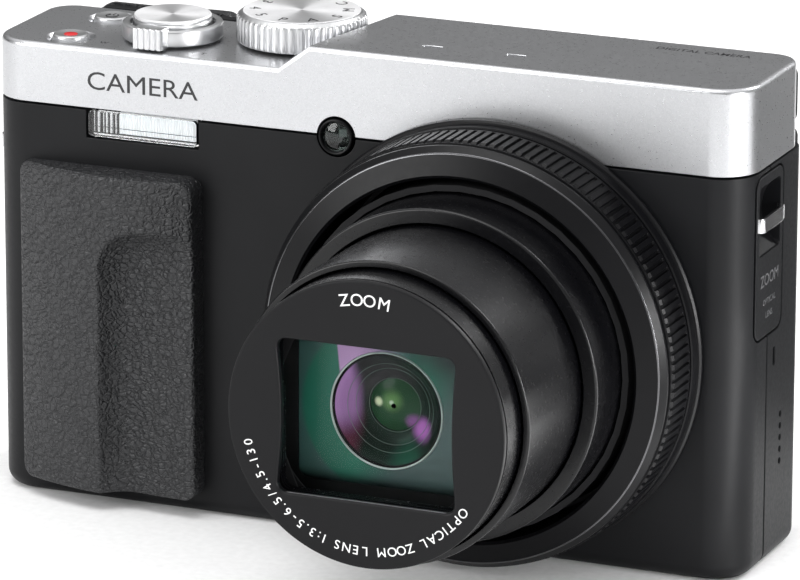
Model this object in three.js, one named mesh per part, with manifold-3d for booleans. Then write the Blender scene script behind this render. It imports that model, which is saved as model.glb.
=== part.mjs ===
// Compact digital camera with a telescoping zoom lens, a flip-up screen and an
// electronic viewfinder, built as separate pieces.
//
// Millimetres. Seen from the front, +X is to the right and +Z is up; +Y runs
// towards the back. The pieces are laid out from the front face of the body
// (y = 0), the base (z = 0) and the middle of the body's width (x = 0). The whole
// camera is then moved along Y, so that its origin lies under the middle of its
// overall box with the lens extended.
import * as THREE from 'three';
import { mergeVertices } from 'three/addons/utils/BufferGeometryUtils.js';
import Module from 'manifold-3d';

const wasm = await Module();
wasm.setup();

// ---------------------------------------------------------------- dimensions

const GAP = 0.3;
const WALL = 1.8;

const BODY = { halfWidth: 55.1, back: 24, seam: 9.4, frontRadius: 5.5, backRadius: 4, footRadius: 2.5 };
const TOP = {
  bottom: 56, lowLevel: 64.4, highLevel: 67.8, back: 22.2, wall: 1.5,
  rampStart: -12, rampEnd: -7.5, rampSlant: 0.177,
};
const BACK_PANEL = { front: 22.5, top: 64.4, highTop: 65.8, highLeft: -1, halfWidth: 50.5, corner: 3 };

const LENS = { x: 19.67, z: 30.63 };
const HOUSING = { inner: 23.05, outer: 23.9, hole: 24.4, front: -11.9, base: 12, baseThick: 1.5, baseRadius: 25.1, rearHole: 9 };
const FLANGE = { inner: 25, outer: 30, lip: 29.4, lipFront: -2.7, front: -1.2 };
const CONTROL_RING = { inner: 24.9, outer: 29.3, back: -3, shoulder: -10, front: -12.7 };
const OUTER = { inner: 20.7, outer: 22.74, front: -20.2, back: -3, lip: 20.62 };
const MIDDLE = { inner: 19.45, outer: 20.4, front: -37.9, back: -13.9 };
const INNER = { inner: 18.5, outer: 19.2, front: -42.3, back: -33 };
const NAME_RING = { front: -43.5, back: -42.6, radius: 19.2 };
const WINDOW = { width: 24.7, height: 20.7, corner: 1.3 };
const BLADE = { radius: 18.2, thick: 0.3, pitch: 0.6, front: -42.3, edge: 0.15, pivotHole: 0.5, swingStops: [0.25, 0.5, 0.75, 1] };
const MAIN_BLADE = { pivotX: -15.6, pivotZ: 5.7, swing: 37 };
const SIDE_BLADE = { pivotX: -13.7, pivotZ: -7.9, swing: 22 };
const FRONT_GLASS = { radius: 17.4, edgeFront: -37.6, apex: -39.5, back: -36.6 };
const BAFFLE = { inner: 7.9, outer: 18.2, front: -36.2, back: -34.4 };
const SECOND_GLASS = { radius: 7.6, front: -36, back: -33.6, dome: 1 };
const REAR_GROUP = { radius: 8.6, front: 11, back: 15.8 };
const SENSOR = { width: 12, height: 10, front: 16.4, back: 17.9 };
const BOARD = { left: -11, right: 50, bottom: 6.2, top: 53, front: 19.5, back: 20.7 };
const MOTOR = { x: -7.6, z: 47.6, radius: 3.2, front: 3, back: 12 };
const PINION = { radius: 1.9, teeth: 10, toothDepth: 0.55, front: 12.4, back: 15, bore: 0.6 };

const GRIP = { left: -50.3, right: -23, bottom: 2.6, top: 48, corner: 2, crown: 5.3, rightProud: 4.2, leftProud: 0.9 };
const SCOOP = { x: -30, radius: 9, depth: 2.9, top: 42 };
const FLASH = { left: -40.1, right: -23.9, bottom: 52.1, top: 55.7, thick: 1.7, reflectorBack: 7.5 };
const LAMP = { x: -3.3, z: 55.8, glass: 1.95, ring: 2.5, notch: 2.8, front: -0.35, back: 3.2 };

const SHUTTER = { x: -31.7, y: 9.5, radius: 5.5, bottom: 65.4, top: 68, stem: 2.6, stemBottom: 60.2, hole: 3.1 };
const LEVER = { radius: 6.9, bottom: 64.7, top: 67, bore: 5.8, tabWidth: 4.4, tabReach: 8.6, tabTop: 67.6 };
const MODE_DIAL = { x: -14.6, y: 14.4, radius: 8.95, bottom: 64.8, top: 69.1, shaft: 2.2, shaftBottom: 60.5, hole: 2.6 };
const TOP_BUTTON = { radius: 2.55, hole: 2.95, bottom: 61.5, top: 65, travel: 0.5 };
const RECORD = { x: -45, y: 5 };
const POWER = { x: -44.3, y: 16.7 };
const MIC = { length: 2.8, width: 0.9, y: 6.9, depth: 1, places: [7.8, 19.8] };

const STRAP = {
  front: 4.6, back: 14.6, bottom: 32.6, top: 54.9, thick: 3.4, corner: 1.6,
  recessFront: 5.6, recessBack: 13.6, recessBottom: 44, recessTop: 53.5, recessDepth: 2.4,
  barZ: 48.6, barHeight: 2, barThick: 0.8, barOut: 0.9, barFoot: 1.1,
};

const DOOR = { left: -48.4, right: -10.6, front: 3.2, back: 17.4, bottom: 0.15, top: 1.65, bore: 0.5, pin: 0.35, pinHole: 0.45 };
const LATCH = { x: -41, y: 10.3, length: 6, width: 3.2, travel: 1.6, bottom: 0.25, top: 0.85, pocketTop: 1.05 };
const BATTERY = { left: -46.6, right: -12.6, front: 7.1, back: 16.1, bottom: 2.6, top: 45.6 };
const CARD = { left: -43, right: -19, front: 3.6, back: 5.7, bottom: 2.6, top: 34.6 };
const WELL = { left: -47.8, right: -11.4, front: 2.4, back: 17.2, bottom: 2.2, top: 47 };
const TRIPOD = { x: 10, y: 15.4, radius: 3.175, barrel: 3.9, outer: 4.8, depth: 5.2, flange: 1.2, cap: 0.6 };

const PORTS = { front: 14.2, back: 19.8, bottom: 8, top: 29, recess: 1.9, doorThick: 1.3 };
const USB = { y: 17.3, z: 23.5, width: 2.6, height: 7.4, depth: 5, wall: 0.35 };
const HDMI = { y: 17.3, z: 13, width: 3, height: 6.5, depth: 5, wall: 0.35 };

const SCREEN = { left: -25.8, right: 52.3, bottom: 3, top: 56.5, front: 24.4, back: 28.2, corner: 1.5, glassThick: 0.8 };
const PANEL = { width: 62, height: 46.5, thick: 1.3 };
const TILT = { y: 27.4, z: 56.9, pin: 0.4, bore: 0.5, knuckle: 0.8, places: [-6, 29], knuckleLength: 7 };
const EVF = { left: 34, right: 53.2, bottom: 57.4, top: 65.8, back: 25.2, cupBack: 26.2, windowWidth: 10.4, windowHeight: 6.6 };

const REAR_DIAL = { x: -40.5, z: 26.5, outer: 9.2, inner: 4.7, front: 24.3, back: 26.1 };
const MENU = { radius: 4.3, front: 22.6, back: 26.3, hole: 4.6 };
const REAR_BUTTON = { radius: 2.7, hole: 3, front: 22.6, back: 25, x: [-47.4, -33.4], upperZ: 43, lowerZ: 11 };
const THUMB = { left: -50, right: -28.5, bottom: 50, top: 64.6, thick: 2.4, corner: 3 };

const CENTRE_Y = (NAME_RING.front + SCREEN.back) / 2;

const RING_SEGMENTS = 40;
const SMALL_SEGMENTS = 24;
const TINY_SEGMENTS = 16;
const ARC_STEPS = 3;

// ----------------------------------------------------------------- materials

const surface = (color, roughness, metalness = 0) => new THREE.MeshStandardMaterial({ color, roughness, metalness });
const FINISH = {
  silver: () => surface(0xc9cacc, 0.42, 0.75),
  black: () => surface(0x242528, 0.55),
  leather: () => surface(0x2b2c2e, 0.8),
  barrel: () => surface(0x17181a, 0.3, 0.35),
  steel: () => surface(0xb9bbbe, 0.3, 1),
  glass: () => surface(0x1d5147, 0.08),
  clear: () => surface(0xdfe8ea, 0.1),
  board: () => surface(0x1f5a35, 0.6),
  inner: () => surface(0x4a4b4e, 0.6),
  cell: () => surface(0x2f3a52, 0.5),
  screen: () => surface(0x0c0d0f, 0.12),
  red: () => surface(0xb9241f, 0.4),
};

// ------------------------------------------------------------ solids and cuts

/** Position-only copy with shared vertices and no zero-area triangles. */
function weld(geometry) {
  const bare = new THREE.BufferGeometry();
  bare.setAttribute('position', geometry.getAttribute('position'));
  bare.setIndex(geometry.getIndex());
  const merged = mergeVertices(bare, 1e-4);
  const index = merged.getIndex().array;
  const kept = [];
  for (let i = 0; i < index.length; i += 3) {
    const [a, b, c] = [index[i], index[i + 1], index[i + 2]];
    if (a !== b && b !== c && c !== a) kept.push(a, b, c);
  }
  merged.setIndex(kept);
  return merged;
}

function toManifold(geometry) {
  const welded = weld(geometry);
  const vertProperties = new Float32Array(welded.getAttribute('position').array);
  const triVerts = new Uint32Array(welded.getIndex().array);
  return new wasm.Manifold(new wasm.Mesh({ numProp: 3, vertProperties, triVerts }));
}

function toGeometry(manifold) {
  const mesh = manifold.getMesh();
  const geometry = new THREE.BufferGeometry();
  geometry.setAttribute('position', new THREE.BufferAttribute(new Float32Array(mesh.vertProperties), 3));
  geometry.setIndex(new THREE.BufferAttribute(new Uint32Array(mesh.triVerts), 1));
  return geometry;
}

const fold = (operation, first, others) =>
  toGeometry(others.reduce((sum, other) => sum[operation](toManifold(other)), toManifold(first)));
const join = (first, ...others) => fold('add', first, others);
const cut = (first, ...others) => fold('subtract', first, others);
const common = (first, ...others) => fold('intersect', first, others);

/** Local x, y and z directions for an outline that is extruded along each axis. */
const EXTRUDE_BASIS = {
  x: [new THREE.Vector3(0, 1, 0), new THREE.Vector3(0, 0, 1), new THREE.Vector3(1, 0, 0)],
  y: [new THREE.Vector3(1, 0, 0), new THREE.Vector3(0, 0, 1), new THREE.Vector3(0, -1, 0)],
  z: [new THREE.Vector3(1, 0, 0), new THREE.Vector3(0, 1, 0), new THREE.Vector3(0, 0, 1)],
};

/** Outline extruded from `from` to `to`: (y, z) along x, (x, z) along y, (x, y) along z. */
function slab(outline, axis, from, to, steps = ARC_STEPS) {
  const depth = to - from;
  const geometry = new THREE.ExtrudeGeometry(outline, { depth, bevelEnabled: false, curveSegments: steps });
  geometry.applyMatrix4(new THREE.Matrix4().makeBasis(...EXTRUDE_BASIS[axis]));
  const start = { x: [from, 0, 0], y: [0, to, 0], z: [0, 0, from] }[axis];
  return geometry.translate(...start);
}

const box = (x0, x1, y0, y1, z0, z1) =>
  new THREE.BoxGeometry(x1 - x0, y1 - y0, z1 - z0).translate((x0 + x1) / 2, (y0 + y1) / 2, (z0 + z1) / 2);

/** Rectangle with one radius per corner, from the low-low corner counterclockwise. */
function roundedRectangle(u0, u1, v0, v1, radii) {
  const [a, b, c, d] = Array.isArray(radii) ? radii : [radii, radii, radii, radii];
  const quarter = Math.PI / 2;
  const outline = new THREE.Shape();
  outline.moveTo(u0 + a, v0);
  outline.absarc(u1 - b, v0 + b, b, -quarter, 0, false);
  outline.absarc(u1 - c, v1 - c, c, 0, quarter, false);
  outline.absarc(u0 + d, v1 - d, d, quarter, 2 * quarter, false);
  outline.absarc(u0 + a, v0 + a, a, 2 * quarter, 3 * quarter, false);
  return outline;
}

const TURN = {
  x: (geometry) => geometry.rotateZ(-Math.PI / 2),
  y: (geometry) => geometry,
  z: (geometry) => geometry.rotateX(Math.PI / 2),
};

/** Solid of revolution about an axis; the profile is a closed loop of [radius, place along the axis]. */
function turned(profile, axis = 'y', segments = RING_SEGMENTS) {
  const loop = [...profile, profile[0]];
  const area = loop.slice(1).reduce((sum, [r, h], i) => sum + loop[i][0] * h - r * loop[i][1], 0);
  if (area < 0) loop.reverse();
  const points = loop.map(([r, h]) => new THREE.Vector2(r, h));
  return weld(TURN[axis](new THREE.LatheGeometry(points, segments)));
}

const tube = (inner, outer, from, to, axis = 'y', segments = RING_SEGMENTS) =>
  turned([[inner, from], [outer, from], [outer, to], [inner, to]], axis, segments);

function disc(radius, from, to, axis = 'y', segments = SMALL_SEGMENTS) {
  const cylinder = new THREE.CylinderGeometry(radius, radius, to - from, segments).translate(0, (from + to) / 2, 0);
  return TURN[axis](cylinder);
}

const onLensAxis = (geometry) => geometry.translate(LENS.x, 0, LENS.z);

const camera = new THREE.Group();
camera.position.y = -CENTRE_Y;

function piece(name, geometry, material) {
  const mesh = new THREE.Mesh(weld(geometry), material);
  mesh.name = name;
  camera.add(mesh);
}

// --------------------------------------------------------------- outer shells

/** Plan outline of the body, drawn in by `inset`, with its back at `back`. */
function bodyPlan(inset, back) {
  const half = BODY.halfWidth - inset;
  const front = BODY.frontRadius - inset;
  const rear = BODY.backRadius - inset;
  return roundedRectangle(-half, half, inset, back - inset, [front, front, rear, rear]);
}

/** Body below the silver cover, drawn in by `inset`. */
function lowerBody(inset) {
  const half = BODY.halfWidth - inset;
  const top = inset ? TOP.bottom + 1 : TOP.bottom - GAP;
  const radius = BODY.footRadius - inset;
  const face = roundedRectangle(-half, half, inset, top, [radius, radius, 0.01, 0.01]);
  return common(slab(bodyPlan(inset, BODY.back), 'z', inset - 0.01, top + 1), slab(face, 'y', 0, BODY.back));
}

const strapPocket = (side, spare) => {
  const outline = roundedRectangle(
    STRAP.front - spare, STRAP.back + spare, STRAP.bottom - spare, STRAP.top + spare, STRAP.corner + spare);
  const reach = BODY.halfWidth - STRAP.thick - spare;
  return side > 0 ? slab(outline, 'x', reach, BODY.halfWidth + 1) : slab(outline, 'x', -BODY.halfWidth - 1, -reach);
};

const doorWay = () => box(DOOR.left - GAP, DOOR.right + 1, DOOR.front - GAP, DOOR.back + GAP, -1, WALL + 1);
const portWay = () => box(
  -BODY.halfWidth - 1, -BODY.halfWidth + WALL + 1,
  PORTS.front - GAP, PORTS.back + GAP, PORTS.bottom - GAP, PORTS.top + GAP);
const tripodWay = () => disc(TRIPOD.outer + GAP, -1, WALL + 1, 'z').translate(TRIPOD.x, TRIPOD.y, 0);
const doorPivot = { x: DOOR.right - (DOOR.top - DOOR.bottom) / 2, z: (DOOR.bottom + DOOR.top) / 2 };
const onDoorPivot = (radius, from, to) =>
  disc(radius, from, to, 'y', TINY_SEGMENTS).translate(doorPivot.x, 0, doorPivot.z);
const doorPinWay = () => onDoorPivot(DOOR.pinHole, DOOR.front - 1.1, DOOR.back + 1.1);

function shell() {
  return cut(
    lowerBody(0), lowerBody(WALL), strapPocket(1, GAP), strapPocket(-1, GAP),
    doorWay(), doorPinWay(), portWay(), tripodWay());
}

const frontHalf = box(-60, 60, -1, BODY.seam - GAP / 2, -1, TOP.bottom);
const rearHalf = box(-60, 60, BODY.seam + GAP / 2, BODY.back + 1, -1, TOP.bottom);

piece('front_cover', cut(
  common(shell(), frontHalf),
  onLensAxis(disc(HOUSING.hole, -1, WALL + 1, 'y', RING_SEGMENTS)),
  box(FLASH.left - GAP, FLASH.right + GAP, -1, WALL + 1, FLASH.bottom - GAP, TOP.bottom + 1),
  disc(LAMP.notch, -1, WALL + 1).translate(LAMP.x, 0, LAMP.z),
), FINISH.black());

const dialWell = disc(MENU.hole, BODY.back - WALL - 1, BODY.back + 1).translate(REAR_DIAL.x, 0, REAR_DIAL.z);
const rearButtonPlaces = [
  ['playback_button', REAR_BUTTON.x[0], REAR_BUTTON.upperZ],
  ['function_button', REAR_BUTTON.x[1], REAR_BUTTON.upperZ],
  ['display_button', REAR_BUTTON.x[0], REAR_BUTTON.lowerZ],
];

/** Flat panel that closes the back of the silver cover, taller on the viewfinder side. */
function backPanel() {
  const { halfWidth, top, highTop, highLeft, corner, front } = BACK_PANEL;
  const bottom = TOP.bottom - 2;
  const low = roundedRectangle(-halfWidth, halfWidth, bottom, top, [0.01, 0.01, corner, corner]);
  const high = roundedRectangle(highLeft, halfWidth, bottom, highTop, [0.01, 0.01, corner, 1]);
  return join(slab(low, 'y', front, BODY.back), slab(high, 'y', front, BODY.back));
}
piece('rear_cover', cut(
  join(common(shell(), rearHalf), backPanel()),
  dialWell,
  ...rearButtonPlaces.map(([, x, z]) => disc(REAR_BUTTON.hole, BODY.back - WALL - 1, BODY.back + 1).translate(x, 0, z)),
), FINISH.black());

/** Front view of the raised deck over the lens: a ramp up from the low level, then flat to the right end. */
function deckFace(inset, bottom) {
  const outline = new THREE.Shape();
  const rampShift = 2 * inset;
  outline.moveTo(TOP.rampStart + rampShift, bottom);
  outline.lineTo(BODY.halfWidth + 10, bottom);
  outline.lineTo(BODY.halfWidth + 10, TOP.highLevel - inset);
  outline.lineTo(TOP.rampEnd + rampShift, TOP.highLevel - inset);
  outline.lineTo(TOP.rampStart + rampShift, TOP.lowLevel - inset);
  outline.closePath();
  return outline;
}

/** Silver cover drawn in by `inset`: low block and raised deck, whose ramp slants across the top. */
function coverSolid(inset, bottom) {
  const half = BODY.halfWidth;
  const slant = new THREE.Matrix4().makeShear(0, 0, TOP.rampSlant, 0, 0, 0);
  const deck = slab(deckFace(inset, bottom), 'y', 0, TOP.back).applyMatrix4(slant);
  const low = box(-half, half, 0, TOP.back, bottom, TOP.lowLevel - inset);
  return common(slab(bodyPlan(inset, TOP.back), 'z', bottom, TOP.highLevel + 1), join(low, deck));
}
const drill = (x, y, radius, segments = SMALL_SEGMENTS) =>
  disc(radius, TOP.bottom, TOP.highLevel + 1, 'z', segments).translate(x, y, 0);

piece('top_cover', cut(
  coverSolid(0, TOP.bottom),
  coverSolid(TOP.wall, TOP.bottom - 1),
  drill(SHUTTER.x, SHUTTER.y, SHUTTER.hole),
  drill(MODE_DIAL.x, MODE_DIAL.y, MODE_DIAL.hole),
  drill(RECORD.x, RECORD.y, TOP_BUTTON.hole),
  drill(POWER.x, POWER.y, TOP_BUTTON.hole),
  disc(MODE_DIAL.radius + 0.4, TOP.lowLevel, TOP.highLevel + 1, 'z', 36).translate(MODE_DIAL.x, MODE_DIAL.y, 0),
  disc(LAMP.notch, -1, TOP.wall + 1).translate(LAMP.x, 0, LAMP.z),
  ...MIC.places.map((x) => box(
    x - MIC.length / 2, x + MIC.length / 2, MIC.y - MIC.width / 2, MIC.y + MIC.width / 2,
    TOP.highLevel - MIC.depth, TOP.highLevel + 1)),
), FINISH.silver());

// ------------------------------------------------------------ grip and thumb rest

/** Plan section of the grip: thin at the outer end, full towards the lens. */
function gripPlan() {
  const outline = new THREE.Shape();
  const crownX = GRIP.right - (GRIP.right - GRIP.left) * 0.27;
  outline.moveTo(GRIP.left, -GAP);
  outline.lineTo(GRIP.left, -GRIP.leftProud);
  outline.quadraticCurveTo(GRIP.left + 9, -GRIP.crown, crownX, -GRIP.crown);
  outline.lineTo(GRIP.right - 1, -GRIP.rightProud - 0.5);
  outline.lineTo(GRIP.right, -GRIP.rightProud);
  outline.lineTo(GRIP.right, -GAP);
  outline.closePath();
  return outline;
}

const gripFace = roundedRectangle(GRIP.left, GRIP.right, GRIP.bottom, GRIP.top, GRIP.corner);
const fingerScoop = new THREE.CapsuleGeometry(SCOOP.radius, SCOOP.top, 4, SMALL_SEGMENTS)
  .rotateX(Math.PI / 2)
  .translate(SCOOP.x, -GRIP.crown + SCOOP.depth - SCOOP.radius, SCOOP.top / 2 - SCOOP.radius);
piece('grip_pad', cut(
  common(slab(gripPlan(), 'z', GRIP.bottom, GRIP.top, 4), slab(gripFace, 'y', -GRIP.crown - 1, 0)),
  fingerScoop,
), FINISH.leather());

piece('thumb_rest', slab(
  roundedRectangle(THUMB.left, THUMB.right, THUMB.bottom, THUMB.top, THUMB.corner),
  'y', BODY.back + GAP, BODY.back + GAP + THUMB.thick), FINISH.leather());

// ---------------------------------------------------------- flash and focus lamp

piece('flash_window', slab(
  roundedRectangle(FLASH.left, FLASH.right, FLASH.bottom, FLASH.top, [1, 1, 0.2, 0.2]),
  'y', 0, FLASH.thick), FINISH.clear());

const reflectorFront = FLASH.thick + GAP;
piece('flash_reflector', cut(
  box(FLASH.left + 0.4, FLASH.right - 0.4, reflectorFront, FLASH.reflectorBack, FLASH.bottom + 0.2, FLASH.top - 0.2),
  disc(1.4, FLASH.left + 1.4, FLASH.right - 1.4, 'x').translate(0, reflectorFront + 0.5, (FLASH.bottom + FLASH.top) / 2),
), FINISH.steel());

piece('focus_lamp_bezel', turned([
  [LAMP.glass + 0.15, LAMP.front], [LAMP.ring, LAMP.front], [LAMP.ring, LAMP.back],
  [1, LAMP.back], [1, 2], [LAMP.glass + 0.15, 2],
], 'y', SMALL_SEGMENTS).translate(LAMP.x, 0, LAMP.z), FINISH.black());
piece('focus_lamp_lens', turned([[0, LAMP.front - 0.25], [1.2, LAMP.front - 0.1], [LAMP.glass, 0.2], [LAMP.glass, 1.6], [0, 1.6]],
  'y', SMALL_SEGMENTS).translate(LAMP.x, 0, LAMP.z), FINISH.glass());

// ------------------------------------------------------------------ zoom lens

piece('lens_housing', onLensAxis(turned([
  [HOUSING.rearHole, HOUSING.base], [HOUSING.inner, HOUSING.base], [HOUSING.inner, HOUSING.front],
  [HOUSING.outer, HOUSING.front], [HOUSING.outer, HOUSING.base], [HOUSING.baseRadius, HOUSING.base],
  [HOUSING.baseRadius, HOUSING.base + HOUSING.baseThick], [HOUSING.rearHole, HOUSING.base + HOUSING.baseThick],
])), FINISH.inner());

piece('lens_flange_ring', onLensAxis(turned([
  [FLANGE.inner, -GAP], [FLANGE.outer, -GAP], [FLANGE.outer, FLANGE.front],
  [FLANGE.lip, FLANGE.front], [FLANGE.lip, FLANGE.lipFront], [FLANGE.inner, FLANGE.lipFront],
])), FINISH.black());

piece('control_ring', onLensAxis(turned([
  [CONTROL_RING.inner, CONTROL_RING.back], [CONTROL_RING.outer, CONTROL_RING.back],
  [CONTROL_RING.outer, CONTROL_RING.shoulder], [CONTROL_RING.outer - 1.3, CONTROL_RING.shoulder - 1.5],
  [CONTROL_RING.inner + 1, CONTROL_RING.front], [CONTROL_RING.inner, CONTROL_RING.front],
])), FINISH.black());

piece('barrel_outer', onLensAxis(turned([
  [OUTER.inner, OUTER.back], [OUTER.outer, OUTER.back], [OUTER.outer, OUTER.front + 0.5],
  [OUTER.outer - 0.5, OUTER.front], [OUTER.inner, OUTER.front],
])), FINISH.barrel());
piece('barrel_middle', onLensAxis(turned([
  [MIDDLE.inner, MIDDLE.back], [MIDDLE.outer, MIDDLE.back], [MIDDLE.outer, MIDDLE.front + 0.4],
  [MIDDLE.outer - 0.4, MIDDLE.front], [MIDDLE.inner, MIDDLE.front],
])), FINISH.barrel());
piece('barrel_inner', onLensAxis(tube(INNER.inner, INNER.outer, INNER.front, INNER.back)), FINISH.barrel());

const windowOutline = (spare) => roundedRectangle(
  -WINDOW.width / 2 - spare, WINDOW.width / 2 + spare,
  -WINDOW.height / 2 - spare, WINDOW.height / 2 + spare, WINDOW.corner + spare);

piece('name_ring', onLensAxis(cut(
  disc(NAME_RING.radius, NAME_RING.front, NAME_RING.back, 'y', RING_SEGMENTS),
  slab(windowOutline(0), 'y', NAME_RING.front - 1, NAME_RING.back + 1),
)), FINISH.barrel());

/**
 * Lens barrier blade, drawn open. It is everything behind the name ring's face that
 * stays inside the barrel all through its swing, and clear of the window when open.
 */
function barrierBlade({ pivotX, pivotZ, swing }, layer, flipped) {
  const front = BLADE.front + layer * BLADE.pitch;
  const back = front + BLADE.thick;
  const opened = disc(BLADE.radius, front, back, 'y', RING_SEGMENTS);
  const barrelDuringSwing = BLADE.swingStops.map((stop) => disc(BLADE.radius, front - 1, back + 1, 'y', RING_SEGMENTS)
    .translate(-pivotX, 0, -pivotZ)
    .rotateY(-THREE.MathUtils.degToRad(stop * swing))
    .translate(pivotX, 0, pivotZ));
  const blade = cut(
    common(opened, ...barrelDuringSwing),
    slab(windowOutline(BLADE.edge), 'y', front - 1, back + 1),
    disc(BLADE.pivotHole, front - 1, back + 1, 'y', TINY_SEGMENTS).translate(pivotX, 0, pivotZ));
  return onLensAxis(flipped ? blade.rotateY(Math.PI) : blade);
}

piece('barrier_upper_main', barrierBlade(MAIN_BLADE, 0, false), FINISH.barrel());
piece('barrier_lower_main', barrierBlade(MAIN_BLADE, 1, true), FINISH.barrel());
piece('barrier_upper_side', barrierBlade(SIDE_BLADE, 2, false), FINISH.barrel());
piece('barrier_lower_side', barrierBlade(SIDE_BLADE, 3, true), FINISH.barrel());

piece('front_element', onLensAxis(turned([
  [0, FRONT_GLASS.apex], [8, FRONT_GLASS.apex + 0.45], [13, FRONT_GLASS.apex + 1.15],
  [FRONT_GLASS.radius, FRONT_GLASS.edgeFront], [FRONT_GLASS.radius, FRONT_GLASS.back], [0, FRONT_GLASS.back],
])), FINISH.glass());
piece('lens_baffle', onLensAxis(tube(BAFFLE.inner, BAFFLE.outer, BAFFLE.front, BAFFLE.back)), FINISH.black());
piece('second_element', onLensAxis(turned([
  [0, SECOND_GLASS.front], [SECOND_GLASS.radius, SECOND_GLASS.front + SECOND_GLASS.dome],
  [SECOND_GLASS.radius, SECOND_GLASS.back], [0, SECOND_GLASS.back],
], 'y', SMALL_SEGMENTS)), FINISH.glass());
piece('rear_lens_group', onLensAxis(disc(REAR_GROUP.radius, REAR_GROUP.front, REAR_GROUP.back)), FINISH.glass());

piece('image_sensor', onLensAxis(
  box(-SENSOR.width / 2, SENSOR.width / 2, SENSOR.front, SENSOR.back, -SENSOR.height / 2, SENSOR.height / 2),
), FINISH.glass());
piece('main_board', box(BOARD.left, BOARD.right, BOARD.front, BOARD.back, BOARD.bottom, BOARD.top), FINISH.board());

piece('zoom_motor', join(
  disc(MOTOR.radius, MOTOR.front, MOTOR.back),
  disc(PINION.bore - 0.15, MOTOR.back - 1, PINION.back + 0.5, 'y', TINY_SEGMENTS),
).translate(MOTOR.x, 0, MOTOR.z), FINISH.steel());

function pinionOutline() {
  const outline = new THREE.Shape();
  for (let i = 0; i < PINION.teeth * 4; i += 1) {
    const angle = (i / (PINION.teeth * 4)) * 2 * Math.PI;
    const radius = PINION.radius - (i % 4 < 2 ? 0 : PINION.toothDepth);
    outline[i ? 'lineTo' : 'moveTo'](radius * Math.cos(angle), radius * Math.sin(angle));
  }
  outline.closePath();
  outline.holes.push(new THREE.Path().absarc(0, 0, PINION.bore, 0, 2 * Math.PI, true));
  return outline;
}
piece('zoom_pinion', slab(pinionOutline(), 'y', PINION.front, PINION.back, 4)
  .translate(MOTOR.x, 0, MOTOR.z), FINISH.steel());

// --------------------------------------------------------------- top controls

piece('shutter_button', turned([
  [0, SHUTTER.stemBottom], [SHUTTER.stem, SHUTTER.stemBottom], [SHUTTER.stem, SHUTTER.bottom],
  [SHUTTER.radius, SHUTTER.bottom], [SHUTTER.radius, SHUTTER.top - 0.5],
  [SHUTTER.radius - 0.6, SHUTTER.top], [0, SHUTTER.top - 0.15],
], 'z', SMALL_SEGMENTS).translate(SHUTTER.x, SHUTTER.y, 0), FINISH.steel());

const leverRing = tube(LEVER.bore, LEVER.radius, LEVER.bottom, LEVER.top, 'z', 36);
const leverTab = box(-LEVER.tabWidth / 2, LEVER.tabWidth / 2, -LEVER.tabReach, -LEVER.bore - 0.5, LEVER.bottom, LEVER.tabTop);
piece('zoom_lever', join(leverRing, leverTab).translate(SHUTTER.x, SHUTTER.y, 0), FINISH.steel());

piece('mode_dial', turned([
  [0, MODE_DIAL.shaftBottom], [MODE_DIAL.shaft, MODE_DIAL.shaftBottom], [MODE_DIAL.shaft, MODE_DIAL.bottom],
  [MODE_DIAL.radius, MODE_DIAL.bottom], [MODE_DIAL.radius, MODE_DIAL.top - 0.5],
  [MODE_DIAL.radius - 0.5, MODE_DIAL.top], [0, MODE_DIAL.top],
], 'z', 36).translate(MODE_DIAL.x, MODE_DIAL.y, 0), FINISH.steel());

for (const [name, place, finish] of [['record_button', RECORD, FINISH.red], ['power_button', POWER, FINISH.steel]]) {
  piece(name, disc(TOP_BUTTON.radius, TOP_BUTTON.bottom, TOP_BUTTON.top, 'z').translate(place.x, place.y, 0), finish());
}

// --------------------------------------------------------------- strap eyelets

/** Side plate with the recess that the strap passes through, on the right or left side. */
function strapPlate(side) {
  const outline = roundedRectangle(STRAP.front, STRAP.back, STRAP.bottom, STRAP.top, STRAP.corner);
  const outer = BODY.halfWidth;
  const plate = slab(outline, 'x', outer - STRAP.thick, outer);
  const recess = box(
    outer - STRAP.recessDepth, outer + 1, STRAP.recessFront, STRAP.recessBack, STRAP.recessBottom, STRAP.recessTop);
  const barSlot = box(
    outer - STRAP.recessDepth, outer + 1,
    STRAP.recessFront - STRAP.barFoot, STRAP.recessBack + STRAP.barFoot,
    STRAP.barZ - STRAP.barHeight / 2 - GAP, STRAP.barZ + STRAP.barHeight / 2 + GAP);
  return cut(plate, recess, barSlot).scale(side, 1, 1);
}

/** Metal bar across the recess, bowed out at its middle. */
function strapBar(side) {
  const outline = new THREE.Shape();
  const inner = BODY.halfWidth - STRAP.recessDepth + GAP;
  const outer = BODY.halfWidth + STRAP.barOut;
  const low = STRAP.recessFront - STRAP.barFoot + GAP;
  const high = STRAP.recessBack + STRAP.barFoot - GAP;
  const foot = STRAP.barThick;
  outline.moveTo(inner, low);
  outline.lineTo(outer - 1, low);
  outline.lineTo(outer, low + 1);
  outline.lineTo(outer, high - 1);
  outline.lineTo(outer - 1, high);
  outline.lineTo(inner, high);
  outline.lineTo(inner, high - foot);
  outline.lineTo(outer - 1, high - foot);
  outline.lineTo(outer - foot, high - 1.4);
  outline.lineTo(outer - foot, low + 1.4);
  outline.lineTo(outer - 1, low + foot);
  outline.lineTo(inner, low + foot);
  outline.closePath();
  return slab(outline, 'z', STRAP.barZ - STRAP.barHeight / 2, STRAP.barZ + STRAP.barHeight / 2).scale(side, 1, 1);
}

/** A mirrored solid keeps its faces outward by swapping two corners of each triangle. */
function mirrored(geometry) {
  const welded = weld(geometry);
  const index = welded.getIndex().array;
  for (let i = 0; i < index.length; i += 3) [index[i], index[i + 1]] = [index[i + 1], index[i]];
  return welded;
}

piece('strap_plate_right', strapPlate(1), FINISH.black());
piece('strap_lug_right', strapBar(1), FINISH.steel());
piece('strap_plate_left', mirrored(strapPlate(-1)), FINISH.black());
piece('strap_lug_left', mirrored(strapBar(-1)), FINISH.steel());

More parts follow.
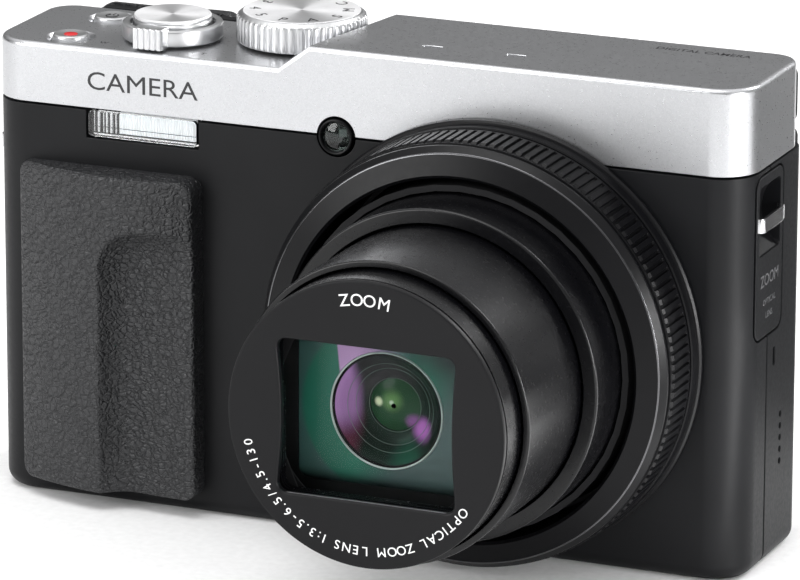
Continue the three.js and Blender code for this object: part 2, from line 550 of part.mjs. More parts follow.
// ------------------------------------------------- battery, card and base pieces

const cavity = ({ left, right, front, back, top }, spare) =>
  box(left - spare, right + spare, front - spare, back + spare, WELL.bottom - 1, top + spare);
piece('battery_compartment', cut(
  box(WELL.left, WELL.right, WELL.front, WELL.back, WELL.bottom, WELL.top),
  cavity(BATTERY, GAP), cavity(CARD, GAP),
), FINISH.inner());
const block = ({ left, right, front, back, bottom, top }) => box(left, right, front, back, bottom, top);
piece('battery', block(BATTERY), FINISH.cell());
piece('memory_card', block(CARD), FINISH.cell());

piece('battery_door', cut(
  join(
    box(DOOR.left, doorPivot.x, DOOR.front, DOOR.back, DOOR.bottom, DOOR.top),
    onDoorPivot((DOOR.top - DOOR.bottom) / 2, DOOR.front, DOOR.back)),
  onDoorPivot(DOOR.bore, DOOR.front - 1, DOOR.back + 1),
  box(
    LATCH.x - LATCH.length / 2 - LATCH.travel - GAP, LATCH.x + LATCH.length / 2 + GAP,
    LATCH.y - LATCH.width / 2 - GAP, LATCH.y + LATCH.width / 2 + GAP, -1, LATCH.pocketTop),
), FINISH.black());
piece('battery_door_pin', onDoorPivot(DOOR.pin, DOOR.front - 0.8, DOOR.back + 0.8), FINISH.steel());
piece('battery_door_latch', box(
  LATCH.x - LATCH.length / 2, LATCH.x + LATCH.length / 2,
  LATCH.y - LATCH.width / 2, LATCH.y + LATCH.width / 2, LATCH.bottom, LATCH.top), FINISH.black());

piece('tripod_socket', turned([
  [TRIPOD.radius, 0], [TRIPOD.outer, 0], [TRIPOD.outer, TRIPOD.flange], [TRIPOD.barrel, TRIPOD.flange],
  [TRIPOD.barrel, TRIPOD.depth + TRIPOD.cap], [0, TRIPOD.depth + TRIPOD.cap],
  [0, TRIPOD.depth], [TRIPOD.radius, TRIPOD.depth],
], 'z', SMALL_SEGMENTS).translate(TRIPOD.x, TRIPOD.y, 0), FINISH.steel());

// -------------------------------------------------------------- terminal sockets

const portDoorOuter = -BODY.halfWidth;
const portPivot = { x: portDoorOuter + PORTS.doorThick / 2, y: PORTS.back - PORTS.doorThick / 2 };
piece('terminal_door', join(
  box(portDoorOuter, portDoorOuter + PORTS.doorThick, PORTS.front, portPivot.y, PORTS.bottom, PORTS.top),
  disc(PORTS.doorThick / 2, PORTS.bottom, PORTS.top, 'z', TINY_SEGMENTS).translate(portPivot.x, portPivot.y, 0),
), FINISH.black());
for (const [name, port] of [['usb_socket', USB], ['hdmi_socket', HDMI]]) {
  const mouth = portDoorOuter + PORTS.recess;
  const body = (spare, start) => box(
    start, mouth + port.depth - spare,
    port.y - port.width / 2 + spare, port.y + port.width / 2 - spare,
    port.z - port.height / 2 + spare, port.z + port.height / 2 - spare);
  piece(name, cut(body(0, mouth), body(port.wall, mouth - 1)), FINISH.steel());
}

// ------------------------------------------------------------ flip-up screen

const knuckleNotch = (x, spare) => box(
  x - TILT.knuckleLength / 2 - spare, x + TILT.knuckleLength / 2 + spare,
  SCREEN.front - 1, SCREEN.back + 1, SCREEN.top - 2.2, SCREEN.top + 3);
const panelCentre = { x: (SCREEN.left + SCREEN.right) / 2, z: (SCREEN.bottom + SCREEN.top) / 2 - 0.6 };
const glassFront = SCREEN.back - SCREEN.glassThick;
const screenOutline = (inset) => roundedRectangle(
  SCREEN.left + inset, SCREEN.right - inset, SCREEN.bottom + inset, SCREEN.top - 2.6 - inset, SCREEN.corner);
piece('screen_frame', cut(
  join(
    slab(roundedRectangle(SCREEN.left, SCREEN.right, SCREEN.bottom, SCREEN.top, SCREEN.corner), 'y', SCREEN.front, SCREEN.back),
    disc(TILT.knuckle, SCREEN.left + 14, SCREEN.right - 14, 'x', TINY_SEGMENTS).translate(0, TILT.y, TILT.z - 0.05)),
  ...TILT.places.map((x) => knuckleNotch(x, GAP)),
  disc(TILT.bore, SCREEN.left, SCREEN.right, 'x', TINY_SEGMENTS).translate(0, TILT.y, TILT.z),
  slab(screenOutline(1), 'y', glassFront - GAP, SCREEN.back + 1),
  box(
    panelCentre.x - PANEL.width / 2 - GAP, panelCentre.x + PANEL.width / 2 + GAP, glassFront - PANEL.thick - 2 * GAP,
    SCREEN.back, panelCentre.z - PANEL.height / 2 - GAP, panelCentre.z + PANEL.height / 2 + GAP),
), FINISH.black());
piece('lcd_panel', box(
  panelCentre.x - PANEL.width / 2, panelCentre.x + PANEL.width / 2, glassFront - PANEL.thick - GAP, glassFront - GAP,
  panelCentre.z - PANEL.height / 2, panelCentre.z + PANEL.height / 2), FINISH.screen());
piece('screen_glass', slab(screenOutline(1 + GAP), 'y', glassFront, SCREEN.back), FINISH.screen());

/** Fixed metal bracket: a strip on the back panel with an arm and a knuckle at each hinge place. */
function hingeBracket() {
  const stripBottom = TOP.bottom + 2.2;
  const strip = box(
    TILT.places[0] - TILT.knuckleLength / 2, TILT.places[1] + TILT.knuckleLength / 2,
    BODY.back + GAP, BODY.back + GAP + 0.7, stripBottom, stripBottom + 4);
  const arms = TILT.places.map((x) => {
    const [low, high] = [x - TILT.knuckleLength / 2, x + TILT.knuckleLength / 2];
    return join(
      box(low, high, BODY.back + GAP, TILT.y, TILT.z, TILT.z + TILT.knuckle),
      box(low, high, BODY.back + GAP, BODY.back + GAP + 0.7, TILT.z, stripBottom + 1),
      disc(TILT.knuckle, low, high, 'x', TINY_SEGMENTS).translate(0, TILT.y, TILT.z));
  });
  const bores = disc(TILT.bore, SCREEN.left, SCREEN.right, 'x', TINY_SEGMENTS).translate(0, TILT.y, TILT.z);
  return cut(join(strip, ...arms), bores);
}
piece('screen_hinge_bracket', hingeBracket(), FINISH.steel());
piece('screen_hinge_pin', disc(TILT.pin, SCREEN.left + 15, SCREEN.right - 15, 'x', TINY_SEGMENTS)
  .translate(0, TILT.y, TILT.z), FINISH.steel());

// ------------------------------------------------------------------ viewfinder

const evfCentre = { x: (EVF.left + EVF.right) / 2, z: (EVF.bottom + EVF.top) / 2 };
const evfWindow = (spare, from, to) => slab(roundedRectangle(
  evfCentre.x - EVF.windowWidth / 2 - spare, evfCentre.x + EVF.windowWidth / 2 + spare,
  evfCentre.z - EVF.windowHeight / 2 - spare, evfCentre.z + EVF.windowHeight / 2 + spare, 1.2), 'y', from, to);
piece('viewfinder_block', cut(
  slab(roundedRectangle(EVF.left, EVF.right, EVF.bottom, EVF.top, 1.2), 'y', BODY.back + GAP, EVF.back),
  evfWindow(0, BODY.back, EVF.back + 1),
), FINISH.black());
piece('viewfinder_eyecup', cut(
  slab(roundedRectangle(EVF.left + 0.8, EVF.right - 0.8, EVF.bottom + 0.5, EVF.top - 0.5, 1.2), 'y', EVF.back + 0.1, EVF.cupBack),
  evfWindow(0.1, EVF.back, EVF.cupBack + 1),
), FINISH.leather());
piece('viewfinder_lens', evfWindow(-GAP, BODY.back + GAP, EVF.back - 0.2), FINISH.glass());

// --------------------------------------------------------------- rear controls

const onDialAxis = (geometry) => geometry.translate(REAR_DIAL.x, 0, REAR_DIAL.z);
piece('rear_dial', onDialAxis(tube(REAR_DIAL.inner, REAR_DIAL.outer, REAR_DIAL.front, REAR_DIAL.back, 'y', 36)), FINISH.black());
piece('menu_button', onDialAxis(disc(MENU.radius, MENU.front, MENU.back)), FINISH.black());
for (const [name, x, z] of rearButtonPlaces) {
  piece(name, disc(REAR_BUTTON.radius, REAR_BUTTON.front, REAR_BUTTON.back).translate(x, 0, z), FINISH.black());
}

export default camera;
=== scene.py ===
"""Looks of the compact digital camera: detailed pieces and materials around the packed frame.

Lengths in this file are millimetres unless a name says otherwise. Each piece is modelled where the
frame says it is, then scaled to metres when it becomes an object.
"""
import math
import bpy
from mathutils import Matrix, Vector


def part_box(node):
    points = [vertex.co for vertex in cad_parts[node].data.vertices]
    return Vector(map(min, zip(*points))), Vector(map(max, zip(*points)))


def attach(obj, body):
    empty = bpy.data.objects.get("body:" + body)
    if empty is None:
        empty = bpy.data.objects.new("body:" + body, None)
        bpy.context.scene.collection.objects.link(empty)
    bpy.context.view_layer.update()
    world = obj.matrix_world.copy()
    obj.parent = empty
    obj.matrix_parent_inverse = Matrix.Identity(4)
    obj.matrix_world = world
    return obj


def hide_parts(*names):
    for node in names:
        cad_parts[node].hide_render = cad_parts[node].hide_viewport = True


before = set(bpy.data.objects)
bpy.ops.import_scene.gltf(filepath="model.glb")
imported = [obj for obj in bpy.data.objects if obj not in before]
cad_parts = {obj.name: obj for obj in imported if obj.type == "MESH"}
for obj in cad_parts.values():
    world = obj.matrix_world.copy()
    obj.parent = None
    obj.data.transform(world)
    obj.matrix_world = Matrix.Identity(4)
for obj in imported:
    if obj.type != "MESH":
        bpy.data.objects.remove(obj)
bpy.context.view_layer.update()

from types import SimpleNamespace

import bmesh
import bpy
from mathutils import Matrix, Vector

MM = 0.001
TAU = 2 * math.pi
ORIGIN = (0, 0, 0)


# ---------------------------------------------------------------- frame places


def node_box(node):
    """Box of a CAD node at rest, in millimetres."""
    low, high = (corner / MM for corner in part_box(node))
    middle = (low + high) / 2
    return SimpleNamespace(
        x0=low.x, x1=high.x, y0=low.y, y1=high.y, z0=low.z, z1=high.z,
        cx=middle.x, cy=middle.y, cz=middle.z,
    )


BODY = node_box("front_cover")
REAR = node_box("rear_cover")
TOP = node_box("top_cover")
FACE = BODY.y0
LENS = node_box("control_ring")
LENS_CENTRE = (LENS.cx, LENS.cz)


# ---------------------------------------------------------------- camera and studio

VIEW_AZIMUTH = math.radians(22.97)
VIEW_ELEVATION = math.radians(16.25)
VIEW_ROLL = math.radians(0.136)
CAMERA_PLACE = (327.9, -759.3 + FACE, 275.9)
FOCAL_LENGTH = 287.9
SENSOR_WIDTH = 36
NEAREST, FARTHEST = 0.01, 20  # metres
SKY = [(0.0, 0.1), (0.3, 0.08), (0.5, 0.4), (0.8, 1.15)]  # height of the direction, brightness
AIM = (LENS.cx, FACE, 35)
LIGHTS = [
    # name, place, target, size, watts
    ("key_left", (-520, -620, 330), AIM, (520, 420), 4.2),
    ("front_fill", (160, -900, 160), AIM, (500, 300), 0.4),
    ("strip_back", (330, 420, 330), (30, -15, 30), (90, 420), 3.0),
    ("strip_right", (520, -190, 60), (40, -10, 30), (60, 220), 3.0),
    ("barrel_glow", (68, 2, 16), (42, -30, 30), (16, 34), 0.009),
    ("top_soft", (-80, -160, 620), AIM, (420, 300), 1.6),
]
FLOOR_REACH = 4000
SIDE_CARD = SimpleNamespace(x0=62, x1=230, y=75, top=110)


def placed(name, data):
    """New object in the scene that holds the data."""
    made = bpy.data.objects.new(name, data)
    bpy.context.scene.collection.objects.link(made)
    return made


def make_camera():
    data = bpy.data.cameras.new("photo_camera")
    data.lens = FOCAL_LENGTH
    data.sensor_width = SENSOR_WIDTH
    data.clip_start, data.clip_end = NEAREST, FARTHEST
    camera = placed("photo_camera", data)
    az, el = VIEW_AZIMUTH, VIEW_ELEVATION
    right = Vector((math.cos(az), math.sin(az), 0))
    back = Vector((math.sin(az) * math.cos(el), -math.cos(az) * math.cos(el), math.sin(el)))
    up = back.cross(right)
    turned_right = right * math.cos(VIEW_ROLL) + up * math.sin(VIEW_ROLL)
    turned_up = up * math.cos(VIEW_ROLL) - right * math.sin(VIEW_ROLL)
    axes = Matrix((turned_right, turned_up, back)).transposed()
    camera.matrix_world = Matrix.Translation(Vector(CAMERA_PLACE) * MM) @ axes.to_4x4()
    bpy.context.scene.camera = camera


def area_light(name, place, target, size, watts):
    data = bpy.data.lights.new(name, "AREA")
    data.shape = "RECTANGLE"
    data.size, data.size_y = (side * MM for side in size)
    data.energy = watts
    light = placed(name, data)
    place, target = Vector(place) * MM, Vector(target) * MM
    light.location = place
    light.rotation_mode = "QUATERNION"
    light.rotation_quaternion = (place - target).to_track_quat("Z", "Y")
    light.visible_camera = False


def card(name, corners, material):
    sheet = placed(name, bpy.data.meshes.new(name))
    sheet.data.from_pydata([tuple(MM * part for part in corner) for corner in corners], [], [(0, 1, 2, 3)])
    sheet.data.materials.append(material)
    return sheet


def make_sky():
    """Bright zenith over a darker low sky, which keeps the level top faces grey."""
    world = bpy.data.worlds.new("studio")
    world.use_nodes = True
    bpy.context.scene.world = world
    nodes, links = world.node_tree.nodes, world.node_tree.links
    place = nodes.new("ShaderNodeTexCoord")
    split = nodes.new("ShaderNodeSeparateXYZ")
    ramp = nodes.new("ShaderNodeValToRGB")
    links.new(place.outputs["Generated"], split.inputs[0])
    links.new(split.outputs["Z"], ramp.inputs[0])
    links.new(ramp.outputs[0], nodes["Background"].inputs["Color"])
    stops = ramp.color_ramp.elements
    stops[0].position, stops[1].position = SKY[0][0], SKY[-1][0]
    for position, _ in SKY[1:-1]:
        stops.new(position)
    for stop, (_, level) in zip(stops, SKY):
        stop.color = (level, level, level, 1)


def make_studio():
    """Pale floor under softboxes, with one dark card that keeps the right side of the camera dark."""
    bpy.context.scene.view_settings.view_transform = "Standard"
    make_sky()
    for light in LIGHTS:
        area_light(*light)
    far = FLOOR_REACH
    card("studio_floor", [(-far, -far, 0), (far, -far, 0), (far, far, 0), (-far, far, 0)],
         plain("floor_paper", (0.94, 0.94, 0.94), 0.9))
    x0, x1, y, top = SIDE_CARD.x0, SIDE_CARD.x1, SIDE_CARD.y, SIDE_CARD.top
    side = card("side_card", [(x0, y, 0), (x1, y, 0), (x1, y, top), (x0, y, top)],
                plain("dark_card", (0.05, 0.05, 0.05), 0.9))
    side.visible_camera = False
    side.visible_shadow = False


# ---------------------------------------------------------------- materials


class Graph:
    """A Principled material with short calls for the nodes that feed it."""

    def __init__(self, name, **uniform):
        self.material = bpy.data.materials.new(name)
        self.material.use_nodes = True
        self.tree = self.material.node_tree
        self.shader = self.tree.nodes["Principled BSDF"]
        for socket, value in uniform.items():
            self.shader.inputs[socket.replace("_", " ").title().replace("Ior", "IOR")].default_value = value
        self.place = self.tree.nodes.new("ShaderNodeTexCoord").outputs["Object"]

    def link(self, source, target):
        self.tree.links.new(source, target)
        return self

    def node(self, kind, **settings):
        made = self.tree.nodes.new(kind)
        for key, value in settings.items():
            if key in made.inputs:
                made.inputs[key].default_value = value
            else:
                setattr(made, key, value)
        return made

    def scaled_place(self, scale):
        """Object coordinates multiplied by a number or by one number per axis."""
        mapping = self.node("ShaderNodeMapping")
        mapping.inputs["Scale"].default_value = (scale,) * 3 if isinstance(scale, (int, float)) else scale
        self.link(self.place, mapping.inputs["Vector"])
        return mapping.outputs[0]

    def noise(self, scale, detail=3.0, roughness=0.5):
        made = self.node("ShaderNodeTexNoise", Scale=1.0, Detail=detail, Roughness=roughness)
        self.link(self.scaled_place(scale), made.inputs["Vector"])
        return made.outputs["Fac"]

    def cells(self, scale, feature="F1", warp=0.0):
        """Distance within random cells; warp bends their edges by that share of a cell."""
        made = self.node("ShaderNodeTexVoronoi", feature=feature, Scale=1.0)
        place = self.scaled_place(scale)
        if warp:
            bend = self.node("ShaderNodeTexNoise", Scale=1.3, Detail=2.0)
            self.link(place, bend.inputs["Vector"])
            offset = self.node("ShaderNodeVectorMath", operation="SCALE", Scale=warp)
            self.link(bend.outputs["Color"], offset.inputs[0])
            total = self.node("ShaderNodeVectorMath", operation="ADD")
            self.link(place, total.inputs[0])
            self.link(offset.outputs[0], total.inputs[1])
            place = total.outputs[0]
        self.link(place, made.inputs["Vector"])
        return made.outputs["Distance"]

    def span(self, source, low, high, from_low=0.3, from_high=0.7):
        """Maps a texture value to the range low to high."""
        made = self.node("ShaderNodeMapRange")
        return self.mapped(made, source, (from_low, from_high, low, high))

    def mapped(self, made, source, limits):
        for key, value in zip(("From Min", "From Max", "To Min", "To Max"), limits):
            made.inputs[key].default_value = value
        self.link(source, made.inputs["Value"])
        return made.outputs["Result"]

    def mottled(self, source, color, share):
        """Base colour that sinks to the given share of itself where the source is low."""
        darker = tuple(share * part for part in color)
        return self.color(self.blend_colors(source, darker, color))

    def blend_colors(self, source, first, second):
        made = self.node("ShaderNodeMix", data_type="RGBA")
        made.inputs["A"].default_value = (*first, 1)
        made.inputs["B"].default_value = (*second, 1)
        self.link(source, made.inputs["Factor"])
        return made.outputs["Result"]

    def mixed(self, first, second, operation="ADD"):
        made = self.node("ShaderNodeMath", operation=operation)
        for source, socket in ((first, made.inputs[0]), (second, made.inputs[1])):
            if isinstance(source, (int, float)):
                socket.default_value = source
            else:
                self.link(source, socket)
        return made.outputs[0]

    def color(self, source):
        return self.link(source, self.shader.inputs["Base Color"])

    def roughness(self, source):
        return self.link(source, self.shader.inputs["Roughness"])

    def bump(self, height, depth_mm, strength=1.0):
        made = self.node("ShaderNodeBump", Strength=strength, Distance=depth_mm * MM)
        self.link(height, made.inputs["Height"])
        return self.link(made.outputs["Normal"], self.shader.inputs["Normal"])


def plain(name, color, roughness, grain=900, level=0.5):
    """Moulded or painted surface with a faint mottle."""
    graph = Graph(name, specular_ior_level=level)
    mottle = graph.noise(grain, 4)
    graph.mottled(graph.span(mottle, 0, 1), color, 0.93)
    graph.roughness(graph.span(mottle, roughness - 0.03, roughness + 0.04))
    return graph.bump(graph.noise(grain * 4, 2), 0.004).material


def glowing_white(name, color, glow):
    """White moulding that glows by emission, painted light in place of light scattered inside a window, so
    that it never looks grey.
    """
    graph = Graph(name, specular_ior_level=0.3, emission_strength=glow)
    mottle = graph.noise(300, 3)
    graph.mottled(graph.span(mottle, 0, 1), color, 0.96)
    graph.shader.inputs["Emission Color"].default_value = (*color, 1)
    graph.roughness(graph.span(mottle, 0.35, 0.45))
    return graph.material


def silver_paint():
    """Satin silver paint: metal flakes show as fine sparkle in colour and slope."""
    graph = Graph("silver_paint", metallic=0.9)
    flakes = graph.noise(7000, 1, 0.8)
    clouds = graph.noise(60, 3)
    tone = graph.mixed(graph.span(flakes, 0.0, 0.75), graph.span(clouds, 0.0, 0.25))
    graph.color(graph.blend_colors(tone, (0.48, 0.485, 0.5), (0.58, 0.585, 0.6)))
    graph.roughness(graph.span(graph.noise(2500, 2), 0.27, 0.33))
    return graph.bump(graph.noise(3200, 2), 0.0016, 0.3).material


def black_paint():
    """Matte black paint over moulded plastic, with a very fine pebble."""
    graph = Graph("black_paint", specular_ior_level=0.2)
    tone = graph.noise(120, 3)
    graph.color(graph.blend_colors(graph.span(tone, 0, 1), (0.0042, 0.0044, 0.0052),
                                   (0.0056, 0.0058, 0.0068)))
    graph.roughness(graph.span(graph.noise(1800, 2), 0.4, 0.48))
    return graph.bump(graph.noise(9000, 2, 0.7), 0.006, 0.5).material


def leatherette(name="leatherette"):
    """Leather grain: uneven creased cells, warped so that no two are alike, with a fine pebble on top."""
    graph = Graph(name, specular_ior_level=0.5)
    creases = graph.cells((1000, 1000, 1200), "DISTANCE_TO_EDGE", 0.6)
    wrinkles = graph.cells((430, 430, 560), "DISTANCE_TO_EDGE", 0.9)
    pebble = graph.noise(6000, 2)
    drift = graph.noise(300, 2)
    height = graph.mixed(graph.span(creases, 0, 1, 0.0, 0.2), graph.span(wrinkles, 0, 0.8, 0.0, 0.08))
    height = graph.mixed(height, graph.span(pebble, 0, 0.2))
    height = graph.mixed(height, graph.span(drift, 0, 0.3))
    # Painted shade: the colour darkens down in the creases and wrinkles, and the pebble and drift vary it at
    # random.
    shade = graph.span(height, 0, 1, 0.3, 2.1)
    graph.color(graph.blend_colors(shade, (0.009, 0.0092, 0.0105), (0.017, 0.0175, 0.0195)))
    graph.roughness(graph.span(height, 0.55, 0.36, 0.5, 2.0))
    return graph.bump(height, 0.12, 1.0).material


def anodised(name, color, roughness, level):
    """Satin black finish with an even, very fine grain."""
    graph = Graph(name, specular_ior_level=level)
    graph.mottled(graph.span(graph.noise(140, 3), 0, 1), color, 0.8)
    graph.roughness(graph.span(graph.noise(1500, 2), roughness - 0.02, roughness + 0.03))
    return graph.bump(graph.noise(7000, 1), 0.001, 0.3).material


def turned_metal(name, color, roughness, streak=0.0):
    """Bright turned metal; streak stretches its highlights into a bow across the turned face."""
    graph = Graph(name, metallic=1.0, anisotropic=streak)
    if streak:
        direction = graph.node("ShaderNodeTangent", direction_type="RADIAL", axis="Z")
        graph.link(direction.outputs[0], graph.shader.inputs["Tangent"])
    clouds = graph.noise(500, 3)
    graph.mottled(graph.span(clouds, 0, 1), color, 0.93)
    graph.roughness(graph.span(graph.noise(2600, 2), roughness - 0.02, roughness + 0.03))
    return graph.bump(graph.noise(9000, 1), 0.0015, 0.3).material


def brushed_metal(name, color, roughness, stretch):
    """Metal brushed along one axis; stretch gives the noise scale along X, Y and Z."""
    graph = Graph(name, metallic=1.0)
    lines = graph.noise(stretch, 3)
    graph.mottled(graph.span(lines, 0, 1), color, 0.8)
    graph.roughness(graph.span(lines, roughness - 0.06, roughness + 0.08))
    return graph.bump(lines, 0.002, 0.3).material


def clear_plastic(name, tint, roughness, ior=1.45, level=0.5):
    """Clear moulding or glass."""
    graph = Graph(name, transmission_weight=1.0, ior=ior, specular_ior_level=level)
    graph.shader.inputs["Roughness"].default_value = roughness
    graph.mottled(graph.noise(300, 2), tint, 0.97)
    return graph.material


class Painted(Graph):
    """A surface whose colour is built up from soft-edged patches placed in the piece's own millimetres."""

    def __init__(self, name, color, roughness, level=0.5):
        super().__init__(name, specular_ior_level=level)
        split = self.node("ShaderNodeSeparateXYZ")
        self.link(self.scaled_place(1 / MM), split.inputs[0])
        self.across, self.up = split.outputs["X"], split.outputs["Z"]
        self.paint = self.blend_colors(self.noise(350, 2), color, tuple(1.08 * part for part in color))
        self.roughness(self.span(self.noise(700, 2), roughness - 0.02, roughness + 0.03))

    def ramp(self, source, start, end):
        """0 up to start and 1 from end on, with a smooth change between."""
        made = self.node("ShaderNodeMapRange", interpolation_type="SMOOTHSTEP")
        limits = (start, end, 0, 1) if start < end else (end, start, 1, 0)
        return self.mapped(made, source, limits)

    def slanted(self, degrees):
        """Distance along a direction in the X-Z plane."""
        angle = math.radians(degrees)
        return self.mixed(
            self.mixed(self.across, math.cos(angle), "MULTIPLY"),
            self.mixed(self.up, math.sin(angle), "MULTIPLY"))

    def spot(self, x, z, inner, outer):
        """1 within the inner radius of a point, falling to 0 at the outer radius."""
        dx = self.mixed(self.across, x, "SUBTRACT")
        dz = self.mixed(self.up, z, "SUBTRACT")
        distance = self.mixed(
            self.mixed(self.mixed(dx, dx, "MULTIPLY"), self.mixed(dz, dz, "MULTIPLY")), 0.5, "POWER")
        return self.ramp(distance, outer, inner)

    def add(self, color, *masks):
        """Paints a colour where every mask is 1."""
        mask = masks[0]
        for other in masks[1:]:
            mask = self.mixed(mask, other, "MULTIPLY")
        made = self.node("ShaderNodeMix", data_type="RGBA")
        sockets = [socket for socket in made.inputs if socket.type == "RGBA"]
        self.link(mask, made.inputs[0])
        self.link(self.paint, sockets[0])
        sockets[1].default_value = (*color, 1)
        self.paint = next(socket for socket in made.outputs if socket.type == "RGBA")
        return self

    def done(self):
        self.color(self.paint)
        return self.material


def glass_reflection_cone():
    """Painted reflections of the coated front glass: teal at the left, greyer at the lower right, darker
    towards the upper right, lilac at the top; painted shade darkens the bottom.
    """
    graph = Painted("glass_reflection_cone", (0.016, 0.125, 0.085), 0.3, 0.2)
    # Each patch below is a painted reflection, except the last one, which is painted shade at the bottom.
    graph.add((0.045, 0.1, 0.092), graph.spot(0, 0, 12.2, 11.4))
    graph.add((0.1, 0.155, 0.15), graph.spot(-2.5, -8.5, 1.0, 6.5), graph.spot(0, 0, 12.2, 11.4))
    graph.add((0.055, 0.085, 0.085), graph.ramp(graph.slanted(-40), 1, 7))
    graph.add((0.02, 0.032, 0.034), graph.ramp(graph.slanted(55), 5.5, 12))
    graph.add((0.1, 0.15, 0.15), graph.spot(12.5, -3.0, 0.5, 5.5))
    graph.add((0.46, 0.27, 0.5), graph.ramp(graph.slanted(6), -6.15, -5.85),
              graph.ramp(graph.across, 4.0, -4.8),
              graph.ramp(graph.up, 1.5, 4.0))
    graph.add((0.006, 0.012, 0.012), graph.ramp(graph.up, -8.6, -10.4))
    return graph.done()


def glass_reflection_rings():
    """Inner lens rings: near black green with painted reflections: lilac and maroon at the left, lilac at the
    lower right, a grey patch at the upper left and a green patch at the lower right.
    """
    graph = Painted("glass_reflection_rings", (0.005, 0.016, 0.011), 0.35, 0.08)
    graph.add((0.035, 0.033, 0.036), graph.spot(-1.5, 3.5, 2.0, 5.5))
    graph.add((0.1, 0.022, 0.045), graph.ramp(graph.across, -3.4, -5.2), graph.ramp(graph.up, 0.5, -3.5))
    graph.add((0.42, 0.21, 0.47), graph.ramp(graph.across, -3.9, -5.6), graph.ramp(graph.up, -4.6, -0.8))
    graph.add((0.008, 0.075, 0.045), graph.spot(2.6, -6.6, 0.6, 3.4))
    graph.add((0.38, 0.13, 0.42), graph.spot(4.0, -2.7, 0.4, 2.1))
    return graph.done()


def green_depth():
    """Domed rear glass: deep green with painted highlights, which are small warm glints and a lighter green
    patch, and a painted lilac reflection at the lower right.
    """
    graph = Painted("green_depth", (0.012, 0.05, 0.022), 0.2, 0.1)
    graph.add((0.1, 0.2, 0.07), graph.spot(-0.3, 0.6, 0.3, 2.0))
    graph.add((0.62, 0.66, 0.45), graph.spot(-2.2, 0.3, 0.25, 0.8))
    graph.add((0.5, 0.58, 0.45), graph.spot(-0.3, 0.4, 0.1, 0.45))
    graph.add((0.25, 0.1, 0.28), graph.spot(2.6, -2.0, 0.3, 1.5))
    return graph.done()


# ---------------------------------------------------------------- mesh building


def rounded_outline(u0, u1, v0, v1, radii, steps=8):
    """Points of a rectangle with one radius per corner, from the low-low corner counterclockwise."""
    radii = radii if isinstance(radii, (list, tuple)) else [radii] * 4
    centres = [
        (u0 + radii[0], v0 + radii[0]), (u1 - radii[1], v0 + radii[1]),
        (u1 - radii[2], v1 - radii[2]), (u0 + radii[3], v1 - radii[3]),
    ]
    points = []
    for corner, ((u, v), radius) in enumerate(zip(centres, radii)):
        start = math.pi + corner * math.pi / 2
        count = steps if radius > 0.02 else 1
        for step in range(count + 1 if count > 1 else 1):
            angle = start + (step / count) * math.pi / 2
            points.append((u + radius * math.cos(angle), v + radius * math.sin(angle)))
    return points


def polar(centre, radius, angle):
    return centre[0] + radius * math.cos(angle), centre[1] + radius * math.sin(angle)


def circle(radius, centre, count=64):
    return [polar(centre, radius, TAU * i / count) for i in range(count)]


def quarter(steps):
    """Angles from 0 to 90 degrees, both included."""
    return [step / steps * math.pi / 2 for step in range(steps + 1)]


def crown(radius, rim, rise, steps):
    """Profile points of a domed glass from its rim to its middle, which is `rise` nearer the front."""
    points = [(radius * math.cos(angle), rim) for angle in quarter(steps)[1:-1]]
    return [(r, rim - rise * (1 - (r / radius) ** 2)) for r, rim in points] + [(0, rim - rise)]


PLANES = {
    "x": lambda u, v, w: (w, u, v),
    "y": lambda u, v, w: (u, w, v),
    "z": lambda u, v, w: (u, v, w),
}


def loft(sections, ends="capped"):
    """Mesh through closed loops of equally many points; "looped" joins the last loop to the first."""
    mesh = bmesh.new()
    rings = [[mesh.verts.new(point) for point in section] for section in sections]
    following = rings[1:] + (rings[:1] if ends == "looped" else [])
    for low, high in zip(rings, following):
        for i, point in enumerate(low):
            j = (i + 1) % len(low)
            mesh.faces.new((point, low[j], high[j], high[i]))
    if ends == "capped":
        mesh.faces.new(reversed(rings[0]))
        mesh.faces.new(rings[-1])
    bmesh.ops.recalc_face_normals(mesh, faces=mesh.faces)
    return mesh


def prism(outline, axis, low, high):
    """Outline extruded along an axis: (y, z) along x, (x, z) along y, (x, y) along z."""
    to_space = PLANES[axis]
    return loft([[to_space(u, v, w) for u, v in outline] for w in (low, high)])


def soft_prism(outline_at, axis, low, high, edge):
    """Prism with both rims rounded by `edge`; outline_at(inset) gives the outline drawn in by inset."""
    to_space = PLANES[axis]
    rims = [(1 - math.sin(a), low + edge * (1 - math.cos(a))) for a in quarter(4)]
    rims += [(1 - math.cos(a), high - edge * (1 - math.sin(a))) for a in quarter(4)]
    return loft([[to_space(u, v, w) for u, v in outline_at(edge * inset)] for inset, w in rims])


def soft_block(x0, x1, y0, y1, z0, z1, corner, edge, axis="y"):
    """Block with rounded corners seen along `axis` and rounded rims."""
    spans = {"x": (y0, y1, z0, z1, x0, x1), "y": (x0, x1, z0, z1, y0, y1), "z": (x0, x1, y0, y1, z0, z1)}
    u0, u1, v0, v1, w0, w1 = spans[axis]
    return soft_prism(
        lambda inset: rounded_outline(
            u0 + inset, u1 - inset, v0 + inset, v1 - inset, max(corner - inset, 0.05)),
        axis, w0, w1, edge)


